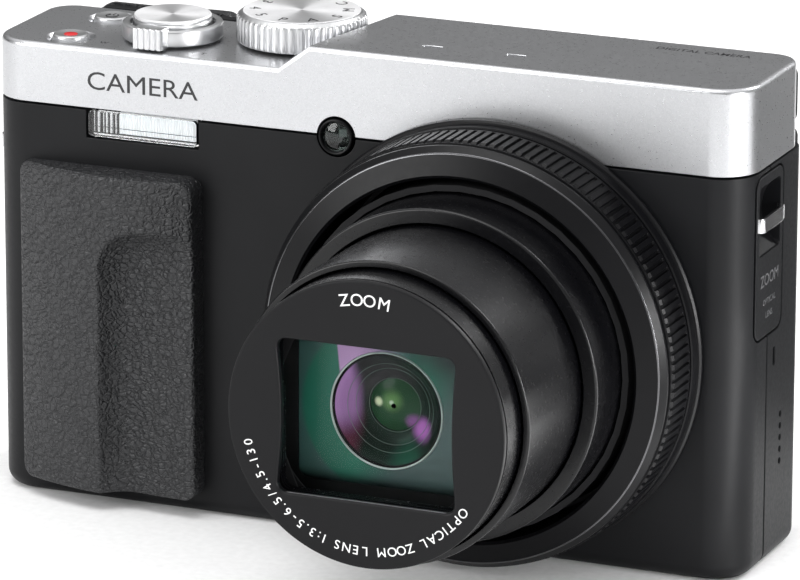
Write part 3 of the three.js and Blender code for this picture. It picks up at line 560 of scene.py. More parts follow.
def lathe(profile, centre, axis="y", segments=128):
    """Solid of revolution. Profile points are (radius, place along the axis); radius 0 lies on the axis."""
    mesh = bmesh.new()
    rings = []
    for radius, along in profile:
        if radius < 1e-6:
            rings.append([mesh.verts.new(PLANES[axis](*centre, along))])
            continue
        rings.append([mesh.verts.new(PLANES[axis](*point, along))
                      for point in circle(radius, centre, segments)])
    closed = profile[0][0] > 1e-6
    pairs = list(zip(rings, rings[1:])) + ([(rings[-1], rings[0])] if closed else [])
    for low, high in pairs:
        for i in range(segments):
            j = (i + 1) % segments
            corners = [low[i % len(low)], low[j % len(low)], high[j % len(high)], high[i % len(high)]]
            unique = list(dict.fromkeys(corners))
            if len(unique) > 2:
                mesh.faces.new(unique)
    bmesh.ops.recalc_face_normals(mesh, faces=mesh.faces)
    return mesh


def lens_lathe(profile, segments=160):
    """Solid turned about the lens axis."""
    return lathe(profile, LENS_CENTRE, "y", segments)


def disc(radius, centre, axis, low, high, segments):
    """Plain turned cylinder from low to high."""
    return lathe([(0, low), (radius, low), (radius, high), (0, high)], centre, axis, segments)


def hole(radius, box, low, high, count=64):
    """Round cutter along Y at the middle of a node's box."""
    return prism(circle(radius, (box.cx, box.cz), count), "y", low, high)


def mesh_data(name, mesh):
    """Blender mesh made from a bmesh, which is freed."""
    data = bpy.data.meshes.new(name)
    mesh.to_mesh(data)
    mesh.free()
    return data


def merged(*meshes):
    """One bmesh holding the loose parts of several."""
    whole = bmesh.new()
    for mesh in meshes:
        data = mesh_data("part", mesh)
        whole.from_mesh(data)
        bpy.data.meshes.remove(data)
    return whole


def scratch_object(mesh):
    return placed("scratch", mesh_data("scratch", mesh))


def modified(obj):
    """The object's mesh with its modifiers applied, as a bmesh; the object and its own data are removed."""
    bpy.context.view_layer.update()
    data = bpy.data.meshes.new_from_object(obj.evaluated_get(bpy.context.evaluated_depsgraph_get()))
    mesh = bmesh.new()
    mesh.from_mesh(data)
    bpy.data.meshes.remove(data)
    discard(obj)
    return mesh


def discard(obj):
    data = obj.data
    bpy.data.objects.remove(obj)
    (bpy.data.curves if isinstance(data, bpy.types.Curve) else bpy.data.meshes).remove(data)


WELD = 0.0005


def combined(first, operation, *others):
    """Exact boolean of solids: DIFFERENCE, UNION or INTERSECT."""
    base = scratch_object(first)
    tools = [scratch_object(other) for other in others]
    for tool in tools:
        step = base.modifiers.new("boolean", "BOOLEAN")
        step.operation = operation
        step.solver = "EXACT"
        step.object = tool
    result = modified(base)
    for tool in tools:
        discard(tool)
    bmesh.ops.remove_doubles(result, verts=result.verts, dist=WELD)
    return result


def carve(solid, *tools):
    return combined(solid, "DIFFERENCE", *tools)


def bevelled(mesh, width, angle=38, segments=2):
    """Rounds every edge sharper than `angle` degrees."""
    base = scratch_object(mesh)
    step = base.modifiers.new("bevel", "BEVEL")
    step.width = width
    step.segments = segments
    step.limit_method = "ANGLE"
    step.angle_limit = math.radians(angle)
    step.use_clamp_overlap = False
    step.miter_outer = "MITER_ARC"
    return modified(base)


def shade(mesh, angle):
    limit = math.radians(angle)
    for face in mesh.faces:
        face.smooth = True
    for edge in mesh.edges:
        edge.smooth = len(edge.link_faces) != 2 or edge.calc_face_angle(0) < limit


def add_piece(name, mesh, body, material, replaces=None, angle=32, origin=ORIGIN):
    """Turns a bmesh in millimetres into a piece in metres that rides on a body.

    `replaces` names the CAD node it stands for, `angle` is the smallest sharp edge in degrees, and
    `origin` is the point that its material measures from.
    """
    shade(mesh, angle)
    scaling = Matrix.Scale(MM, 4) @ Matrix.Translation(-Vector(origin))
    bmesh.ops.transform(mesh, matrix=scaling, verts=mesh.verts)
    piece = placed(name, mesh_data(name, mesh))
    piece.data.materials.append(material)
    piece.location = Vector(origin) * MM
    piece.modifiers.new("normals", "WEIGHTED_NORMAL").keep_sharp = True
    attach(piece, body)
    if replaces:
        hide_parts(replaces)
    return piece


TEXT_DEPTH = 0.03


def text_mesh(text, size, weight=0.0, depth=TEXT_DEPTH):
    """Upright lettering in the XZ plane, centred on the origin, its face towards -Y."""
    curve = bpy.data.curves.new("text", "FONT")
    curve.body = text
    curve.size = size
    curve.offset = weight * size
    curve.extrude = depth / 2
    curve.align_x = curve.align_y = "CENTER"
    curve.resolution_u = 4
    return turned(modified(placed("text", curve)), 90, "X")


def moved(mesh, offset):
    bmesh.ops.translate(mesh, verts=mesh.verts, vec=Vector(offset))
    return mesh


def turned(mesh, degrees, axis):
    bmesh.ops.rotate(mesh, verts=mesh.verts, matrix=Matrix.Rotation(math.radians(degrees), 3, axis))
    return mesh


# ---------------------------------------------------------------- body shells

WALL = 1.8
FRONT_RADIUS = 5.5
BACK_RADIUS = 4.0
FOOT = 2.2
EDGE = 0.16
GAP = 0.3
SHOULDER = 64.4  # level of the rear panel and of the low part of the silver cover


def body_plan(inset, back):
    front = max(FRONT_RADIUS - inset, GAP)
    rear = max(BACK_RADIUS - inset, GAP)
    return rounded_outline(
        BODY.x0 + inset, BODY.x1 - inset, FACE + inset, back - inset, [front, front, rear, rear], 14)


def lower_body(inset, top):
    """Body with a rounded foot, drawn in by `inset`, closed at height `top`."""
    low = BODY.z0 + inset
    foot = FOOT - inset if inset < FOOT else 0.2
    levels = [(inset + foot * (1 - math.sin(a)), low + foot * (1 - math.cos(a))) for a in quarter(8)]
    return loft([[(x, y, z) for x, y in body_plan(drawn_in, REAR.y1)]
                 for drawn_in, z in [*levels, (inset, top)]])


def slab_box(x0, x1, y0, y1, z0, z1):
    return prism([(x0, y0), (x1, y0), (x1, y1), (x0, y1)], "z", z0, z1)


def around(box, spare, outwards):
    """Straight-sided cutter around a node's box, `spare` wider and reaching `outwards` along z."""
    return slab_box(
        box.x0 - spare, box.x1 + spare, box.y0 - spare, box.y1 + spare, box.z0 - outwards, box.z1 + outwards)


STRAP_PLATES = [node_box("strap_plate_right"), node_box("strap_plate_left")]
BATTERY_DOOR = node_box("battery_door")
PORT_DOOR = node_box("terminal_door")
SOCKET = node_box("tripod_socket")
FLASH = node_box("flash_window")
LAMP = node_box("focus_lamp_bezel")
LENS_HOLE = 24.4
LAMP_NOTCH = 2.8
PLATE_DEPTH = 3.4
PLATE_CORNER = 1.6
SOCKET_HOLE = 5.1
HINGE_ROOM = 0.7
OUTSIDE = 2  # how far cutters reach past a surface


def shell_cutters():
    cutters = []
    for plate in STRAP_PLATES:
        outline = rounded_outline(
            plate.y0 - GAP, plate.y1 + GAP, plate.z0 - GAP, plate.z1 + GAP, PLATE_CORNER + GAP)
        cutters.append(prism(outline, "x", *side_span(plate, PLATE_DEPTH + GAP, OUTSIDE)))
    hatch = SimpleNamespace(**{**vars(BATTERY_DOOR), "x1": BATTERY_DOOR.x1 + HINGE_ROOM})
    door = PORT_DOOR
    return cutters + [
        around(hatch, GAP, OUTSIDE),
        slab_box(BODY.x0 - OUTSIDE, BODY.x0 + WALL + 1, door.y0 - GAP, door.y1 + GAP, door.z0 - GAP,
                 door.z1 + GAP),
        prism(circle(SOCKET_HOLE, (SOCKET.cx, SOCKET.cy)), "z", -OUTSIDE, WALL + 1),
    ]


def side_span(box, depth, outwards=0.0):
    """Span along X from `depth` inside the body's side to `outwards` past it, on the box's side."""
    side = 1 if box.cx > 0 else -1
    return sorted((side * (BODY.x1 - depth), side * (BODY.x1 + outwards)))


def shell_half(low_y, high_y, *more):
    solid = combined(lower_body(0, BODY.z1), "INTERSECT", slab_box(-60, 60, low_y, high_y, -5, 70))
    return carve(solid, lower_body(WALL, BODY.z1 + 3), *shell_cutters(), *more)


def make_front_cover(paint):
    front, back = FACE - OUTSIDE, FACE + WALL + 1
    lens_way = hole(LENS_HOLE, LENS, front, back, 128)
    flash_way = slab_box(FLASH.x0 - GAP, FLASH.x1 + GAP, front, back, FLASH.z0 - GAP, BODY.z1 + OUTSIDE)
    solid = shell_half(front, BODY.y1, lens_way, flash_way, hole(LAMP_NOTCH, LAMP, front, back, 48))
    add_piece("front_shell", bevelled(solid, EDGE), "body", paint, "front_cover")


REAR_DIAL = node_box("rear_dial")
REAR_BUTTONS = {name: node_box(name) for name in ("playback_button", "function_button", "display_button")}
PANEL = SimpleNamespace(half=50.5, step_x=-1, overlap=1.7, depth=1.5, corner=3)
DIAL_WELL = 4.6
BUTTON_WELL = 3.0
EVF = node_box("viewfinder_block")
SPEAKER = SimpleNamespace(y=FACE + 15.15, low=13.3, count=5, pitch=1.65, radius=0.42)
SIDE_SLOT = SimpleNamespace(y=FACE + 12.2, z=28.8, length=2.6, width=0.8)


def speaker_cutters():
    outside = BODY.x1 + OUTSIDE
    holes = [
        prism(circle(SPEAKER.radius, (SPEAKER.y, SPEAKER.low + i * SPEAKER.pitch), 16), "x", BODY.x1 - 1.2,
              outside)
        for i in range(SPEAKER.count)]
    half, wide = SIDE_SLOT.length / 2, SIDE_SLOT.width / 2
    slot = rounded_outline(
        SIDE_SLOT.y - wide, SIDE_SLOT.y + wide, SIDE_SLOT.z - half, SIDE_SLOT.z + half, wide - 0.03, 5)
    return [*holes, prism(slot, "x", BODY.x1 - 1.0, outside)]


def make_rear_cover(paint):
    solid = shell_half(REAR.y0, REAR.y1 + OUTSIDE, *speaker_cutters())
    panels = [
        prism(rounded_outline(left, PANEL.half, BODY.z1 - PANEL.overlap, top, [0, 0, PANEL.corner, corner]),
              "y", REAR.y1 - PANEL.depth, REAR.y1)
        for left, top, corner in ((-PANEL.half, SHOULDER, PANEL.corner), (PANEL.step_x, REAR.z1, 1))]
    floor, outside = REAR.y1 - WALL - 1, REAR.y1 + 1
    wells = [hole(DIAL_WELL, REAR_DIAL, floor, outside, 48)]
    wells += [hole(BUTTON_WELL, box, floor, outside, 40) for box in REAR_BUTTONS.values()]
    solid = carve(combined(solid, "UNION", *panels), *wells)
    add_piece("rear_shell", bevelled(solid, EDGE), "body", paint, "rear_cover")


RAMP = SimpleNamespace(start=-12.0, end=-7.5, slant=0.177, low=SHOULDER)
CHAMFER = 0.7
COVER_WALL = 1.5
PAST = 70  # beyond the cover on either side
MODE = node_box("mode_dial")
SHUTTER = node_box("shutter_button")
RECORD = node_box("record_button")
POWER = node_box("power_button")
MIC_PLACES = (7.8, 19.8)
MIC = SimpleNamespace(half=1.4, front=FACE + 6.45, back=FACE + 7.35, corner=0.2, depth=0.6)


def cover_block(inset, low):
    """Silver cover as one block: low level, slanting ramp and raised deck."""
    deck = prism(
        [(RAMP.start + 2 * inset, low), (PAST, low), (PAST, TOP.z1 - inset),
         (RAMP.end + 2 * inset, TOP.z1 - inset), (RAMP.start + 2 * inset, RAMP.low - inset)],
        "y", FACE - 3, TOP.y1 + 3)
    for vertex in deck.verts:
        vertex.co.x += RAMP.slant * (vertex.co.y - FACE)
    level = slab_box(-PAST, PAST, FACE - 3, TOP.y1 + 3, low, RAMP.low - inset)
    plan = prism(body_plan(inset, TOP.y1), "z", low - 1, TOP.z1 + 3)
    return combined(plan, "INTERSECT", combined(level, "UNION", deck))


def drill(box, radius, low=60, count=64):
    return prism(circle(radius, (box.cx, box.cy), count), "z", low, TOP.z1 + 3)


def dish(box, radius):
    """Shallow dished recess round a top button."""
    surface = RAMP.low
    return lathe(
        [(0, surface - 0.75), (2.95, surface - 0.75), (3.0, surface - 0.62), (radius, surface),
         (radius + 0.25, surface + 0.6), (0, surface + 0.6)], (box.cx, box.cy), "z", 64)


def make_top_cover(paint):
    block = bevelled(cover_block(0, TOP.z0 - 4), CHAMFER, 60, 3)
    hollow = cover_block(COVER_WALL, TOP.z0 - 6)
    cutters = [
        slab_box(-PAST, PAST, FACE - 5, TOP.y1 + 5, TOP.z0 - 8, TOP.z0),
        drill(SHUTTER, 3.1), drill(MODE, 2.6), drill(MODE, 9.35, RAMP.low, 96),
        drill(RECORD, 2.95), drill(POWER, 2.95), dish(RECORD, 3.45), dish(POWER, 3.45),
        hole(LAMP_NOTCH, LAMP, FACE - OUTSIDE, FACE + 2.5, 48),
    ]
    for x in MIC_PLACES:
        slot = rounded_outline(x - MIC.half, x + MIC.half, MIC.front, MIC.back, MIC.corner, 3)
        cutters.append(prism(slot, "z", TOP.z1 - MIC.depth, TOP.z1 + OUTSIDE))
    solid = carve(block, hollow, *cutters)
    add_piece("silver_cover", bevelled(solid, 0.1, 50), "body", paint, "top_cover")


# ---------------------------------------------------------------- zoom lens

BARRELS = (
    # piece, node, body, inner radius, outer radius, front edge
    ("outer_barrel", "barrel_outer", "lens_outer", 20.7, 22.74, 0.35),
    ("middle_barrel", "barrel_middle", "lens_middle", 19.45, 20.4, 0.3),
    ("inner_barrel", "barrel_inner", "lens_inner", 18.5, 19.2, 0.06),
)
FLANGE = node_box("lens_flange_ring")


def ring_profile(inner, outer, front, back, front_edge, edge=0.15):
    """Closed profile of a tube whose front outer rim is rounded."""
    rim = [(outer - front_edge * (1 - math.cos(a)), front + front_edge * (1 - math.sin(a)))
           for a in quarter(4)]
    return [(inner, back), (outer - edge, back), (outer, back - edge), *rim, (inner + edge, front),
            (inner, front + edge)]


def make_flange(material):
    front = FLANGE.y0
    profile = [
        (25, FACE - GAP), (29.8, FACE - GAP), (30, FACE - GAP - 0.2), (30, FACE - 0.95), (29.75, FACE - 1.2),
        (29.5, FACE - 1.25), (29.35, front + 0.35), (29.4, front + 0.12), (29.2, front), (25, front)]
    add_piece("flange_ring", lens_lathe(profile, 192), "body", material, "lens_flange_ring", 25)


KNURL = SimpleNamespace(count=144, root=28.95, top=29.3, land=0.64, back=LENS.y1 - 0.45, front=LENS.y0 + 3.15)


def knurled_ring():
    """Control ring: flat axial lands with narrow grooves, a plain collar, then a chamfered face."""
    back, front = LENS.y1, LENS.y0
    rows = [
        ((24.9, 0), back), ((29.0, 0), back), ((29.2, 0), back - 0.12),
        ((29.2, 0), KNURL.back), ((KNURL.root, 1), KNURL.back - 0.12),
        ((KNURL.root, 1), KNURL.front + 0.45), ((KNURL.root, 0.15), KNURL.front + 0.1),
        ((29.05, 0), KNURL.front), ((29.1, 0), front + 2.65), ((28.75, 0), front + 2.6),
        ((28.75, 0), front + 2.3), ((28.95, 0), front + 2.2), ((28.9, 0), front + 1.9),
        ((28.1, 0), front + 1.0),
        ((27.4, 0), front + 0.75), ((25.3, 0), front), ((24.9, 0), front + 0.3), ((24.9, 0), front + 6)]
    pattern = ((0.0, 0), (0.09, 1), (KNURL.land, 1), (KNURL.land + 0.09, 0))
    loops = []
    for (radius, ridge), y in rows:
        height = ridge * (KNURL.top - KNURL.root)
        loops.append([
            (*polar(LENS_CENTRE, radius + height * rise, TAU * (i + fraction) / KNURL.count), y)
            for i in range(KNURL.count) for fraction, rise in pattern])
    return loft([[(x, y, z) for x, z, y in loop] for loop in loops], "looped")


def make_control_ring(material, polished):
    add_piece("knurled_ring", knurled_ring(), "control_ring", material, "control_ring", 25)
    front = LENS.y0
    bevel = lens_lathe([
        (28.0, front + 1.3), (28.16, front + 1.02), (28.1, front + 0.96), (27.95, front + 0.9),
        (27.8, front + 1.1)],
        192)
    add_piece("ring_bevel", bevel, "control_ring", polished, angle=40)


def make_barrels(material):
    for piece, node, body, inner, outer, edge in BARRELS:
        box = node_box(node)
        tube = lens_lathe(ring_profile(inner, outer, box.y0, box.y1, edge))
        add_piece(piece, tube, body, material, node, 25)


WINDOW = SimpleNamespace(width=24.7, height=20.7, corner=1.3, bow_left=0.6, bow_right=0.45)
BAFFLE = node_box("lens_baffle")
GLASS = node_box("front_element")
SECOND = node_box("second_element")


def window_outline(spare, bow=1.0, steps=10):
    """Rounded window of the name ring; its left and right sides bow inwards a little."""
    half_w, half_h = WINDOW.width / 2 + spare, WINDOW.height / 2 + spare
    corner = max(WINDOW.corner + spare * 0.5, 0.3)
    points = rounded_outline(-half_w, half_w, -half_h, half_h, corner, 6)
    straight = half_h - corner
    left = []
    right = []
    for step in range(1, steps):
        v = -straight + 2 * straight * step / steps
        inwards = bow * math.cos(v / straight * math.pi / 2)
        right.append((half_w - WINDOW.bow_right * inwards, v))
        left.append((-half_w + WINDOW.bow_left * inwards, -v))
    quarter = len(points) // 4
    outline = points[:2 * quarter] + right + points[2 * quarter:] + left
    return [(LENS.cx + u, LENS.cz + v) for u, v in outline]


def ray_outline(outline, count):
    """Outline sampled where evenly turned rays from the lens axis meet it."""
    points = []
    relative = [(x - LENS.cx, z - LENS.cz) for x, z in outline]
    for i in range(count):
        dx, dz = math.cos(TAU * i / count), math.sin(TAU * i / count)
        for (ax, az), (bx, bz) in zip(relative, relative[1:] + relative[:1]):
            ex, ez = bx - ax, bz - az
            cross = dx * ez - dz * ex
            if abs(cross) < 1e-9:
                continue
            along = (ax * ez - az * ex) / cross
            share = (ax * dz - az * dx) / cross
            if along > 0 and -1e-6 <= share <= 1 + 1e-6:
                points.append((LENS.cx + along * dx, LENS.cz + along * dz))
                break
    return points


NAME = node_box("name_ring")
LETTER_CIRCLE = 16.7


def make_name_ring(material, lettering, lip):
    front, back = NAME.y0, NAME.y1
    count = 288
    loops = [(circle(radius, LENS_CENTRE, count), y) for radius, y in (
        (19.1, back), (19.2, back - 0.1), (19.2, front + 0.2), (19.12, front + 0.06), (18.95, front),
        (18.8, front))]
    loops += [(ray_outline(window_outline(spare), count), y) for spare, y in (
        (0.45, front), (0.3, front), (0.12, front + 0.06), (0.02, front + 0.2), (0, front + 0.35), (0, back))]
    mesh = loft([[(x, y, z) for x, z in points] for points, y in loops], "looped")
    add_piece("lens_name_ring", mesh, "lens_inner", material, "name_ring", 40)
    low, half = LENS.cz - WINDOW.height / 2, WINDOW.width / 2 - 0.9
    edge = [(front + 0.02, low - 0.3), (front + 0.3, low + 0.02), (front + 0.62, low + 0.02),
            (front + 0.3, low - 0.3)]
    strip = prism(edge, "x", LENS.cx - half, LENS.cx + half)
    add_piece("window_lip", strip, "lens_inner", lip, angle=10)
    top_word = ring_text("ZOOM", 2.3, LETTER_CIRCLE - 0.1, 103, 77)
    arc_words = ring_text("OPTICAL ZOOM LENS 1:3.5-6.5/4.5-130", 1.75, LETTER_CIRCLE + 0.1, -34, -168)
    letters = moved(merged(top_word, arc_words), (LENS.cx, front - 0.012, LENS.cz))
    add_piece("lens_lettering", letters, "lens_inner", lettering)


LETTER_WIDTHS = {" ": 0.42, "1": 0.5, ".": 0.32, ":": 0.34, "-": 0.5, "/": 0.46, "M": 0.9, "W": 1.0,
                 "I": 0.34}


def ring_text(text, size, radius, first_degrees, last_degrees):
    """Letters clockwise round a circle, tops outwards, spread from one angle to the other."""
    widths = [LETTER_WIDTHS.get(letter, 0.7) for letter in text]
    pieces = []
    done = 0.0
    for letter, width in zip(text, widths):
        share = (done + width / 2) / sum(widths)
        done += width
        if letter == " ":
            continue
        angle = first_degrees + share * (last_degrees - first_degrees)
        x, z = polar((0, 0), radius, math.radians(angle))
        pieces.append(moved(turned(text_mesh(letter, size), 90 - angle, "Y"), (x, 0, z)))
    return merged(*pieces)


FRONT_GLASS = SimpleNamespace(radius=17.4, rise=1.9)
REAR_DOME = SimpleNamespace(radius=3.45, depth=2.85, rise=0.7)
FINE_RINGS = ((5.95, 1.1), (5.1, 1.9), (3.58, 2.66))  # radius, depth
CORNER_STOPS = ((14.7, GLASS.y0 - 0.05, 128), (15.3, GLASS.y0 - 0.5, 8))  # radius, place, sides


def make_field(teal, matte):
    """Cone behind the front glass, painted with the glass's reflections and with shade at its bottom, and the
    black mask that frames it.
    """
    front, back = BAFFLE.y0, BAFFLE.y1
    cone = lens_lathe([(7.9, front + 0.02), (18.1, front + 0.02), (18.2, front + 0.2), (18.2, back),
                       (7.9, back)])
    add_piece("field_cone", cone, "lens_inner", teal, "lens_baffle",
              origin=(LENS.cx, front, LENS.cz))
    mask = lens_lathe([(0, front - 0.5), (18.3, front - 0.5), (18.3, front - 0.08), (0, front - 0.08)])
    mask = carve(mask, prism(window_outline(-0.15, 0), "y", front - OUTSIDE, front + OUTSIDE))
    add_piece("field_mask", bevelled(mask, 0.1, 50), "lens_inner", matte)


def make_inner_rings(rim, line, deep, green_glass, matte):
    """Rim, a deep bowl with fine rings on its wall, and the domed rear glass; the rim and the rings are real,
    their pale colours are painted highlights.
    """
    start, end = SECOND.y0, SECOND.y1
    origin = (LENS.cx, start, LENS.cz)
    edge = [(7.6, start - 0.05), (7.66, start - 0.3), (7.74, start - 0.36), (7.82, start - 0.28),
            (7.86, start - 0.05), (7.86, end), (7.6, end)]
    add_piece("inner_rim", lens_lathe(edge), "lens_inner", rim)
    seat = [(7.3, start - 0.02), (7.4, start - 0.12), (7.6, start - 0.12), (7.6, end + 0.1), (7.3, end + 0.1)]
    add_piece("inner_seat", lens_lathe(seat), "lens_inner", matte)
    wall = [(7.2 - 3.65 * step / 12, start + 2.7 * math.sin(angle)) for step, angle in enumerate(quarter(12))]
    bowl = [(7.3, start + 0.1), *wall[1:], (3.5, start + 2.9), (0, start + 3.0), (0, start + 4.0),
            (7.3, start + 4.0)]
    add_piece("inner_rings", lens_lathe(bowl, 128), "lens_inner", deep, "second_element", 40,
              origin)
    for index, (radius, depth) in enumerate(FINE_RINGS):
        place = start + depth
        ring = [(radius - 0.035, place), (radius, place - 0.05), (radius + 0.035, place),
                (radius, place + 0.05)]
        add_piece(f"inner_line_{index + 1}", lens_lathe(ring, 128), "lens_inner", line)
    base = start + REAR_DOME.depth
    dome = [(REAR_DOME.radius, base), *crown(REAR_DOME.radius, base, REAR_DOME.rise, 8)]
    add_piece("inner_dome", lens_lathe(dome, 96), "lens_inner", green_glass,
              origin=origin)


def make_front_glass(glass, matte):
    rim = GLASS.y0 + FRONT_GLASS.rise
    front = [(FRONT_GLASS.radius, GLASS.y1), (FRONT_GLASS.radius, rim)]
    front += crown(FRONT_GLASS.radius, rim, FRONT_GLASS.rise, 14) + [(0, GLASS.y1)]
    add_piece("front_glass", lens_lathe(front), "lens_inner", glass, "front_element", 40)
    for index, (radius, y, sides) in enumerate(CORNER_STOPS):
        stop = [(radius, y), (radius + 0.05, y - 0.1), (18.4, y - 0.1), (18.4, y + 0.1), (radius, y + 0.08)]
        add_piece(f"corner_stop_{index + 1}", lens_lathe(stop, sides), "lens_inner", matte)


# ---------------------------------------------------------------- grip and thumb rest

GRIP = node_box("grip_pad")
GRIP_CROWN = FACE - GRIP.y0
GRIP_SHAPE = SimpleNamespace(start=0.9, handle=9, crown_share=0.27, fall=1.7, fall_power=1.5)
SCOOP = SimpleNamespace(left=-36.7, top=40.6, corner=6.2, depth=2.75, wall=4.2)
REST = node_box("thumb_rest")
PAD_SINK = 0.02


def bezier(first, handle, last, t):
    return first * (1 - t) ** 2 + 2 * handle * t * (1 - t) + last * t * t


def smooth_step(value):
    value = min(max(value, 0.0), 1.0)
    return value * value * (3 - 2 * value)


def grip_rise(x):
    """Height of the grip above the body: thin at the outer end, full at its crown, lower towards the lens."""
    crown_x = GRIP.x1 - (GRIP.x1 - GRIP.x0) * GRIP_SHAPE.crown_share
    if x >= crown_x:
        share = (x - crown_x) / (GRIP.x1 - crown_x)
        return GRIP_CROWN - GRIP_SHAPE.fall * share ** GRIP_SHAPE.fall_power
    low, high = 0.0, 1.0
    for _ in range(24):
        middle = (low + high) / 2
        if bezier(GRIP.x0, GRIP.x0 + GRIP_SHAPE.handle, crown_x, middle) < x:
            low = middle
        else:
            high = middle
    return bezier(GRIP_SHAPE.start, GRIP_CROWN, GRIP_CROWN, low)


def scoop_depth(x, z):
    """Finger scoop: steep on its outer side and under its top, running out towards the lens."""
    across, under = x - SCOOP.left, SCOOP.top - z
    if across < SCOOP.corner and under < SCOOP.corner:
        inside = SCOOP.corner - math.hypot(SCOOP.corner - across, SCOOP.corner - under)
    else:
        inside = min(across, under)
    if inside <= 0:
        return 0.0
    run = max(across - SCOOP.wall, 0) / (GRIP.x1 - SCOOP.left - SCOOP.wall)
    floor = SCOOP.depth * (1 - 0.9 * run ** 1.8)
    share = min(inside / SCOOP.wall, 1.0)
    return floor * (1 - (1 - share) ** 2.0)


def round_off(radius, distance):
    """How far a rounded edge falls back at a distance in from it."""
    return radius - math.sqrt(max(radius ** 2 - max(radius - distance, 0) ** 2, 0))


def pad_surface(box, corner, rim, rise_at, columns, rows, back, outward):
    """Pad whose face follows rise_at(x, z); outward is -1 on the body's front and 1 on its back.

    Rows are close together round the corners, and columns are closer at both sides.
    """
    mesh = bmesh.new()
    grid = []
    ends = [corner * (1 - math.cos(angle)) for angle in quarter(12)]
    straight = box.z1 - box.z0 - 2 * corner
    levels = [box.z0 + end for end in ends]
    levels += [box.z0 + corner + straight * i / rows for i in range(1, rows)]
    levels += [box.z1 - end for end in reversed(ends)]
    for z in levels:
        from_end = min(z - box.z0, box.z1 - z)
        inset = round_off(corner, from_end)
        left, right = box.x0 + inset, box.x1 - inset
        line = []
        for column in range(columns + 1):
            u = column / columns
            x = left + (right - left) * (0.5 - 0.5 * math.cos(math.pi * u)) * 0.35 + (right - left) * u * 0.65
            drop = round_off(rim, min(x - left, right - x, from_end))
            line.append(mesh.verts.new((x, back + outward * (rise_at(x, z) - drop), z)))
        grid.append(line)
    for low, high in zip(grid, grid[1:]):
        for i in range(columns):
            mesh.faces.new((low[i], low[i + 1], high[i + 1], high[i]))
    right_side = [line[-1] for line in grid[1:]]
    left_side = [line[0] for line in grid[-2:0:-1]]
    rim_loop = grid[0] + right_side + grid[-1][-2::-1] + left_side
    foot = [mesh.verts.new((v.co.x, back, v.co.z)) for v in rim_loop]
    for i, vertex in enumerate(rim_loop):
        j = (i + 1) % len(rim_loop)
        mesh.faces.new((vertex, foot[i], foot[j], rim_loop[j]))
    mesh.faces.new(foot)
    bmesh.ops.recalc_face_normals(mesh, faces=mesh.faces)
    return mesh


def make_pads(leather):
    grip = pad_surface(
        GRIP, 2.0, 0.55, lambda x, z: grip_rise(x) - scoop_depth(x, z), 90, 150, FACE - PAD_SINK, -1)
    rest = pad_surface(
        REST, 2.6, 0.7, lambda x, z: 1.5 + 1.15 * smooth_step((x - REST.x0 - 9) / 9), 60, 44,
        REAR.y1 + PAD_SINK, 1)
    for name, mesh, node in (("front_grip", grip, "grip_pad"), ("rear_thumb_rest", rest, "thumb_rest")):
        add_piece(name, mesh, "body", leather, node, 50)


# ---------------------------------------------------------------- flash and focus lamp


FRESNEL = SimpleNamespace(pitch=0.42, start=4.3, end=0.35, crest=0.98, root=1.15, back=1.75)
FLASH_RODS = ((0.55, 0.1), (1.25, 0.28), (1.95, 0.12), (2.45, 0.22), (3.15, 0.3),
              (3.8, 0.14))  # place, radius
FLASH_LINES = ((0.14, 0.22), (1.25, 0.07))  # height, thickness
MIRROR = SimpleNamespace(depth=4.6, half=1.55, thick=0.25, front=0.2)


def make_flash_window(clear, white, chrome, dark):
    """Clear cover over a white ridged diffuser, upright rods at its left and bright lines along its foot."""
    box = FLASH
    window = soft_block(box.x0, box.x1, FACE - 0.12, FACE + 0.75, box.z0, box.z1, 0.6, 0.16)
    add_piece("flash_cover", window, "body", clear, "flash_window")
    first, pitch = box.x0 + FRESNEL.start, FRESNEL.pitch
    count = int((box.x1 - FRESNEL.end - first) / pitch)
    outline = [(first, FACE + FRESNEL.back), (first, FACE + FRESNEL.root)]
    for i in range(count):
        outline += [(first + (i + 0.5) * pitch, FACE + FRESNEL.crest),
                    (first + (i + 1) * pitch, FACE + FRESNEL.root)]
    outline.append((first + count * pitch, FACE + FRESNEL.back))
    ridged = prism(outline, "z", box.z0 + 0.55, box.z1 - 0.1)
    add_piece("flash_diffuser", ridged, "body", white, angle=10)
    rods = [disc(radius, (box.x0 + place, FACE + 1.2), "z", box.z0 + 0.5, box.z1 - 0.1, 20)
            for place, radius in FLASH_RODS]
    add_piece("flash_ribs", merged(*rods), "body", chrome)
    lines = [soft_block(box.x0 + 0.5, box.x1 - 0.5, FACE + 0.8, FACE + 0.92, box.z0 + z, box.z0 + z + thick,
                        0.05, 0.02)
             for z, thick in FLASH_LINES]
    add_piece("flash_lines", merged(*lines), "body", chrome)
    tray = soft_block(box.x0 + 0.25, box.x1 - 0.25, FACE + 1.8, FACE + 2.1, box.z0 + 0.1, box.z1, 0.3, 0.08)
    add_piece("flash_tray", tray, "body", dark)


def make_flash_mirror(chrome, white):
    """Trough-shaped mirror with the flash tube in it."""
    node = node_box("flash_reflector")
    trough = []
    for step in range(17):
        angle = math.pi * step / 16
        trough.append((node.y0 + MIRROR.front + MIRROR.depth * math.sin(angle),
                       node.cz - MIRROR.half * math.cos(angle)))
    shell = trough + [(y + MIRROR.thick, node.cz + (z - node.cz) * 1.02) for y, z in reversed(trough)]
    add_piece("flash_mirror", prism(shell, "x", node.x0, node.x1), "body", chrome, "flash_reflector")
    tube = disc(0.75, (node.y0 + 2.4, node.cz), "x", node.x0 + 0.4, node.x1 - 0.4, 24)
    add_piece("flash_tube", tube, "body", white)


LAMP_LENS = SimpleNamespace(radius=1.95, rim=0.1, rise=0.5, back=1.4)


